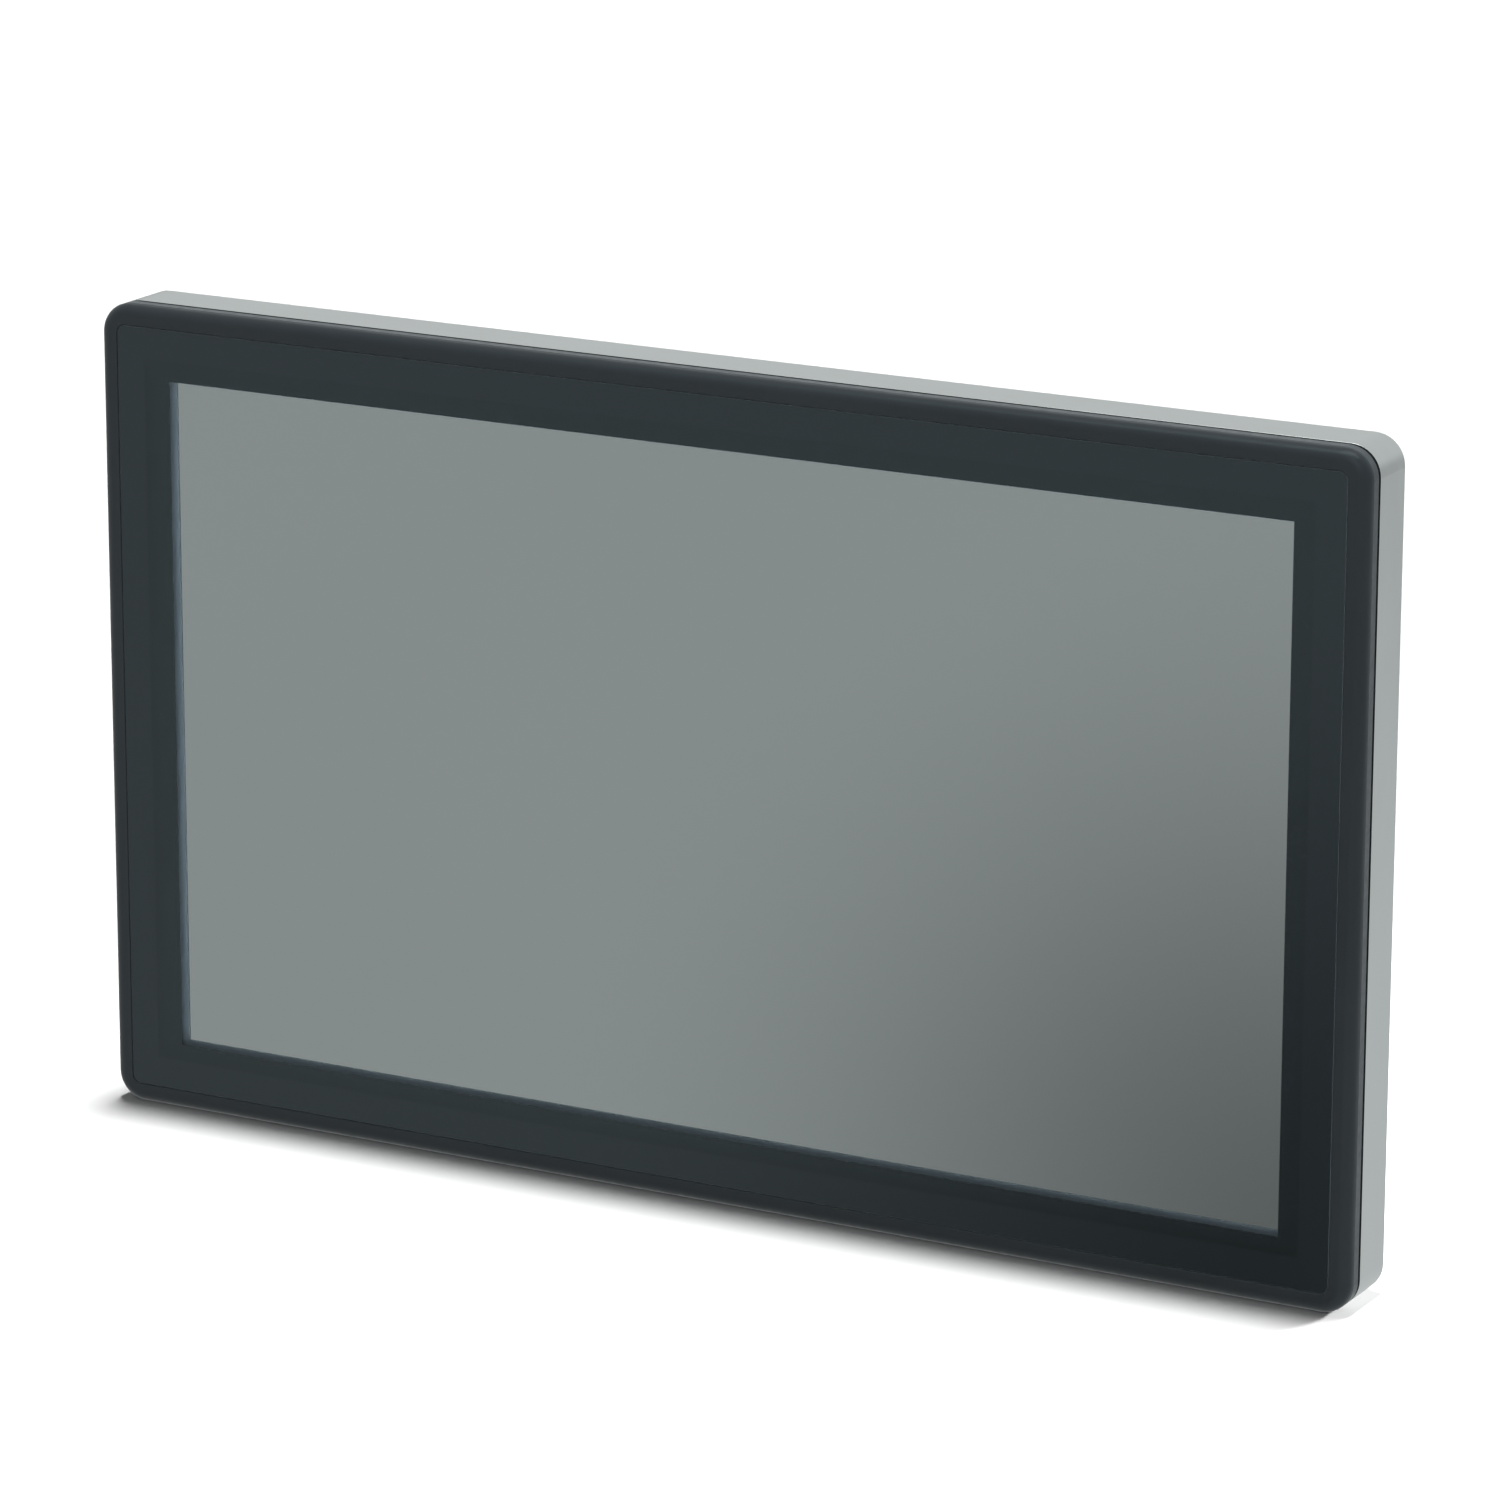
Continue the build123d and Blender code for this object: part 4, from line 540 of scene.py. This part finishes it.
def vent_ribs():
    """Finger ribs round the vent plug and a ring on its cap."""
    count, rib_size, soft, down = 24, (0.5 * MM, 1.3 * MM, 0.7 * MM), 0.15 * MM, 1.5 * MM
    ring_inner, ring_outer, ring_h, ring_sunk = 3.6 * MM, 4.2 * MM, 0.25 * MM, 0.05 * MM
    low, high = ends_of("vent_plug")
    middle = (low + high) / 2
    radius = (high.x - low.x) / 2
    ribs = Fine()
    for i in range(count):
        stand = Matrix.Translation((radius, high.y - down, 0.0)) @ Matrix.Diagonal((*rib_size, 1.0))
        turn = Matrix.Translation((middle.x, 0.0, middle.z)) @ Matrix.Rotation(math.tau * i / count, 4, "Y")
        rib = bmesh.new()
        bmesh.ops.create_cube(rib, size=1.0, matrix=stand)
        bmesh.ops.bevel(rib, geom=rib.edges[:], offset=soft, segments=2, affect="EDGES")
        bmesh.ops.transform(rib, matrix=turn, verts=rib.verts[:])
        mesh = bpy.data.meshes.new("rib")
        rib.to_mesh(mesh)
        rib.free()
        ribs.bm.from_mesh(mesh)
        bpy.data.meshes.remove(mesh)
    ring_start = (middle.x, high.y - ring_sunk, middle.z)
    ribs.ring(ring_start, FRONT_TO_BACK, ring_inner, ring_outer, ring_h, 40)
    ribs.made("vent_ribs", MATERIALS["vent_plastic"], slot_of["vent_plug"])


def grip_ribs():
    """Ribs on the flap's finger grip."""
    count, pitch, width, length, soft = 11, 2.1 * MM, 0.8 * MM, 1.4 * MM, 0.12 * MM
    proud, sunk, from_edge = 0.22 * MM, 0.1 * MM, 0.1 * MM
    low, high = ends_of("service_flap")
    middle = (low.z + high.z) / 2
    end = high.y - from_edge
    ribs = Fine()
    for i in range(count):
        z = middle + (i - (count - 1) / 2) * pitch
        ribs.bar((low.x - proud, end - length, z - width / 2), (low.x + sunk, end, z + width / 2), soft)
    ribs.made("grip_ribs", MATERIALS[slot_of["service_flap"]], slot_of["service_flap"], "flap")


MAKERS = (jack_contacts, jack_lenses, usb_contacts, serial_sleeves, stud_thread, coil_spring, insert_threads,
          rocker_marks, vent_ribs, grip_ribs)
for make in MAKERS:
    make()


# ---- stage ------------------------------------------------------------------------------------------------


def plain_mesh(name, corners, faces):
    mesh = bpy.data.meshes.new(name)
    mesh.from_pydata(corners, [], faces)
    piece = bpy.data.objects.new(name, mesh)
    bpy.context.scene.collection.objects.link(piece)
    return piece


def floor():
    """The white floor, which isn't mirrored, so that what the panel mirrors comes from the sky alone."""
    size = 12.0
    corners = [(-size, -size, 0.0), (size, -size, 0.0), (size, size, 0.0), (-size, size, 0.0)]
    piece = plain_mesh("floor", corners, [(0, 1, 2, 3)])
    s = Shader("floor_white").set(Roughness=1.0, Specular_IOR_Level=0.0)
    s.colour((0.86, 0.86, 0.86), (0.87, 0.87, 0.87), 0.5)
    piece.data.materials.append(s.material)
    piece.visible_glossy = False
    return piece


def soft_box(name, centre, towards, width, height, power):
    """A rectangular lamp at centre that faces a point."""
    light = bpy.data.lights.new(name, "AREA")
    light.shape, light.size, light.size_y = "RECTANGLE", width, height
    light.energy = power
    lamp = bpy.data.objects.new(name, light)
    lamp.location = centre
    lamp.rotation_euler = (Vector(towards) - Vector(centre)).to_track_quat("-Z", "Y").to_euler()
    bpy.context.scene.collection.objects.link(lamp)
    lamp.visible_camera = False
    return lamp


def sun(name, behind, width, strength):
    """An even light from overhead, leaning back: the shadow in front of the panel is short and soft."""
    light = bpy.data.lights.new(name, "SUN")
    light.energy, light.angle = strength, width
    lamp = bpy.data.objects.new(name, light)
    lamp.rotation_euler = (-behind, 0.0, 0.0)
    lamp.visible_glossy = False
    bpy.context.scene.collection.objects.link(lamp)


FILL_AWAY = Vector((0.17, 0.28, 0.11))
FILL_W, FILL_H, FILL_POWER = 0.06, 0.04, 3.0
CORNER_INSET = 4.0 * MM


def corner_fill(ground):
    """A low lamp behind the right end, which only the floor receives: it opens the shadow there."""
    low, high = ends_of("rear_housing")
    corner = Vector((high.x - CORNER_INSET, (low.y + high.y) / 2, 0.0))
    lamp = soft_box("corner_fill", corner + FILL_AWAY, corner, FILL_W, FILL_H, FILL_POWER)
    receivers = bpy.data.collections.new("lit_by_corner_fill")
    receivers.objects.link(ground)
    lamp.light_linking.receiver_collection = receivers


# what the sky gives: how bright it is as a light, and how bright in a mirror
SKY, SKY_IN_GLOSS = 0.12, 0.66
# in a mirror it is dimmer, by DIM_SIDE, near the horizon behind: these are the rises that it fades between
DIM_SIDE = 0.7
DIM_RISE, DIM_TOP, DIM_BACK = (-0.29, -0.2), (0.0, 0.2), (0.0, 0.3)
MIRRORED_WHITE = (0.97, 1.0, 1.0, 1.0)


def mixed_value(tree, factor, a, b):
    """A number between a and b, each of them a number or a socket."""
    node = tree.nodes.new("ShaderNodeMix")
    tree.links.new(factor, node.inputs["Factor"])
    for name, value in (("A", a), ("B", b)):
        if isinstance(value, float):
            node.inputs[name].default_value = value
        else:
            tree.links.new(value, node.inputs[name])
    return node.outputs["Result"]


def sky():
    """White surroundings, a little dimmer where they are mirrored, most of all towards the horizon behind."""
    world = bpy.data.worlds.new("white_room")
    bpy.context.scene.world = world
    world.use_nodes = True
    tree = world.node_tree
    plain = tree.nodes["Background"]
    plain.inputs["Color"].default_value = (1.0, 1.0, 1.0, 1.0)
    plain.inputs["Strength"].default_value = SKY
    mirrored = tree.nodes.new("ShaderNodeBackground")
    mirrored.inputs["Color"].default_value = MIRRORED_WHITE
    towards = tree.nodes.new("ShaderNodeTexCoord")
    parts = tree.nodes.new("ShaderNodeSeparateXYZ")
    tree.links.new(towards.outputs["Generated"], parts.inputs[0])
    rise = tree.nodes.new("ShaderNodeMapRange")
    back_half = tree.nodes.new("ShaderNodeMapRange")
    above = tree.nodes.new("ShaderNodeMapRange")
    ranges = ((rise, "Z", (*DIM_RISE, 1.0, DIM_SIDE)), (above, "Z", (*DIM_TOP, 0.0, 1.0)),
              (back_half, "Y", (*DIM_BACK, 0.0, 1.0)))
    for node, axis, numbers in ranges:
        set_range(node, *numbers)
        tree.links.new(parts.outputs[axis], node.inputs["Value"])
    dim = mixed_value(tree, above.outputs[0], rise.outputs[0], 1.0)
    dim = mixed_value(tree, back_half.outputs[0], 1.0, dim)
    level = tree.nodes.new("ShaderNodeMath")
    level.operation = "MULTIPLY"
    level.inputs[1].default_value = SKY_IN_GLOSS
    tree.links.new(dim, level.inputs[0])
    tree.links.new(level.outputs[0], mirrored.inputs["Strength"])
    seen = tree.nodes.new("ShaderNodeBackground")
    seen.inputs["Strength"].default_value = 1.0
    ray = tree.nodes.new("ShaderNodeLightPath")
    by_gloss = tree.nodes.new("ShaderNodeMixShader")
    by_sight = tree.nodes.new("ShaderNodeMixShader")
    tree.links.new(ray.outputs["Is Glossy Ray"], by_gloss.inputs[0])
    tree.links.new(plain.outputs[0], by_gloss.inputs[1])
    tree.links.new(mirrored.outputs[0], by_gloss.inputs[2])
    tree.links.new(ray.outputs["Is Camera Ray"], by_sight.inputs[0])
    tree.links.new(by_gloss.outputs[0], by_sight.inputs[1])
    tree.links.new(seen.outputs[0], by_sight.inputs[2])
    tree.links.new(by_sight.outputs[0], tree.nodes["World Output"].inputs["Surface"])


# ---- camera -----------------------------------------------------------------------------------------------

AZIMUTH, ELEVATION, ROLL = math.radians(28.6), math.radians(15.3), math.radians(0.13)
LENS, DISTANCE = 169.4, 1.925
AIM_RIGHT, AIM_UP = 12.5 * MM, 12.4 * MM
glass_low, glass_high = ends_of("cover_glass")
glass_centre = Vector(((glass_low.x + glass_high.x) / 2, glass_low.y, (glass_low.z + glass_high.z) / 2))
right = Vector((math.cos(AZIMUTH), math.sin(AZIMUTH), 0.0))
back = Vector((math.sin(AZIMUTH) * math.cos(ELEVATION),
               -math.cos(AZIMUTH) * math.cos(ELEVATION),
               math.sin(ELEVATION)))
up = back.cross(right)
AIM = glass_centre + AIM_RIGHT * right + AIM_UP * up
EYE = AIM + DISTANCE * back


def camera():
    data = bpy.data.cameras.new("camera")
    data.lens, data.sensor_width = LENS, 36.0
    data.clip_start, data.clip_end = 0.05, 60.0
    eye = bpy.data.objects.new("camera", data)
    turn = Matrix((right, up, back)).transposed() @ Matrix.Rotation(ROLL, 3, "Z")
    eye.matrix_world = Matrix.Translation(EYE) @ turn.to_4x4()
    bpy.context.scene.collection.objects.link(eye)
    bpy.context.scene.camera = eye


# the card stands CARD_AWAY from the screen, and is shaded from its middle out, from CARD_DARK to CARD_FULL
CARD_AWAY, CARD_SIZE = 0.9, 1.6
CARD_DARK, CARD_FULL = -0.03, 0.31
CARD_LOW_SHADE = 0.4 * SKY_IN_GLOSS


def grey_card():
    """A dark-centred card in front of the screen: its mirror image dims the lower right corner."""
    box_low, box_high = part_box("lcd_cell")
    corner = Vector((box_high[0], box_low[1], box_low[2]))
    sight = (corner - EYE).normalized()
    mirrored = Vector((sight.x, -sight.y, sight.z))
    centre = corner + CARD_AWAY * mirrored
    side = mirrored.cross(Vector((0.0, 0.0, 1.0))).normalized()
    rise = side.cross(mirrored)
    corners = [CARD_SIZE * (a * side + b * rise) for a, b in ((-1, -1), (1, -1), (1, 1), (-1, 1))]
    piece = plain_mesh("grey_card", corners, [(0, 1, 2, 3)])
    piece.location = centre
    s = Shader("card_shade")
    s.tree.nodes.remove(s.surface)
    away = s.add("ShaderNodeVectorMath", operation="LENGTH")
    s.link(s.place, away.inputs[0])
    ramp = s.add("ShaderNodeMapRange", interpolation_type="SMOOTHSTEP")
    set_range(ramp, CARD_DARK, CARD_FULL, CARD_LOW_SHADE, SKY_IN_GLOSS)
    s.link(away.outputs["Value"], ramp.inputs["Value"])
    glow = s.add("ShaderNodeEmission")
    s.link(ramp.outputs["Result"], glow.inputs["Strength"])
    s.link(glow.outputs[0], s.output.inputs["Surface"])
    piece.data.materials.append(s.material)
    piece.visible_camera = piece.visible_diffuse = piece.visible_shadow = False


bpy.context.scene.view_settings.view_transform = "Standard"
camera()
sky()
corner_fill(floor())
grey_card()
sun("top_light", behind=math.radians(2.8), width=math.radians(5.4), strength=3.75)
soft_box("front_box", centre=(0.9, -2.4, 1.9), towards=(0.0, 0.0, 0.12), width=1.6, height=1.2, power=5.0)
top_box = soft_box("top_box", centre=(0.15, -0.15, 1.6), towards=(0.0, 0.0, 0.2), width=1.5, height=0.6,
                   power=7.0)
top_box.visible_diffuse = False
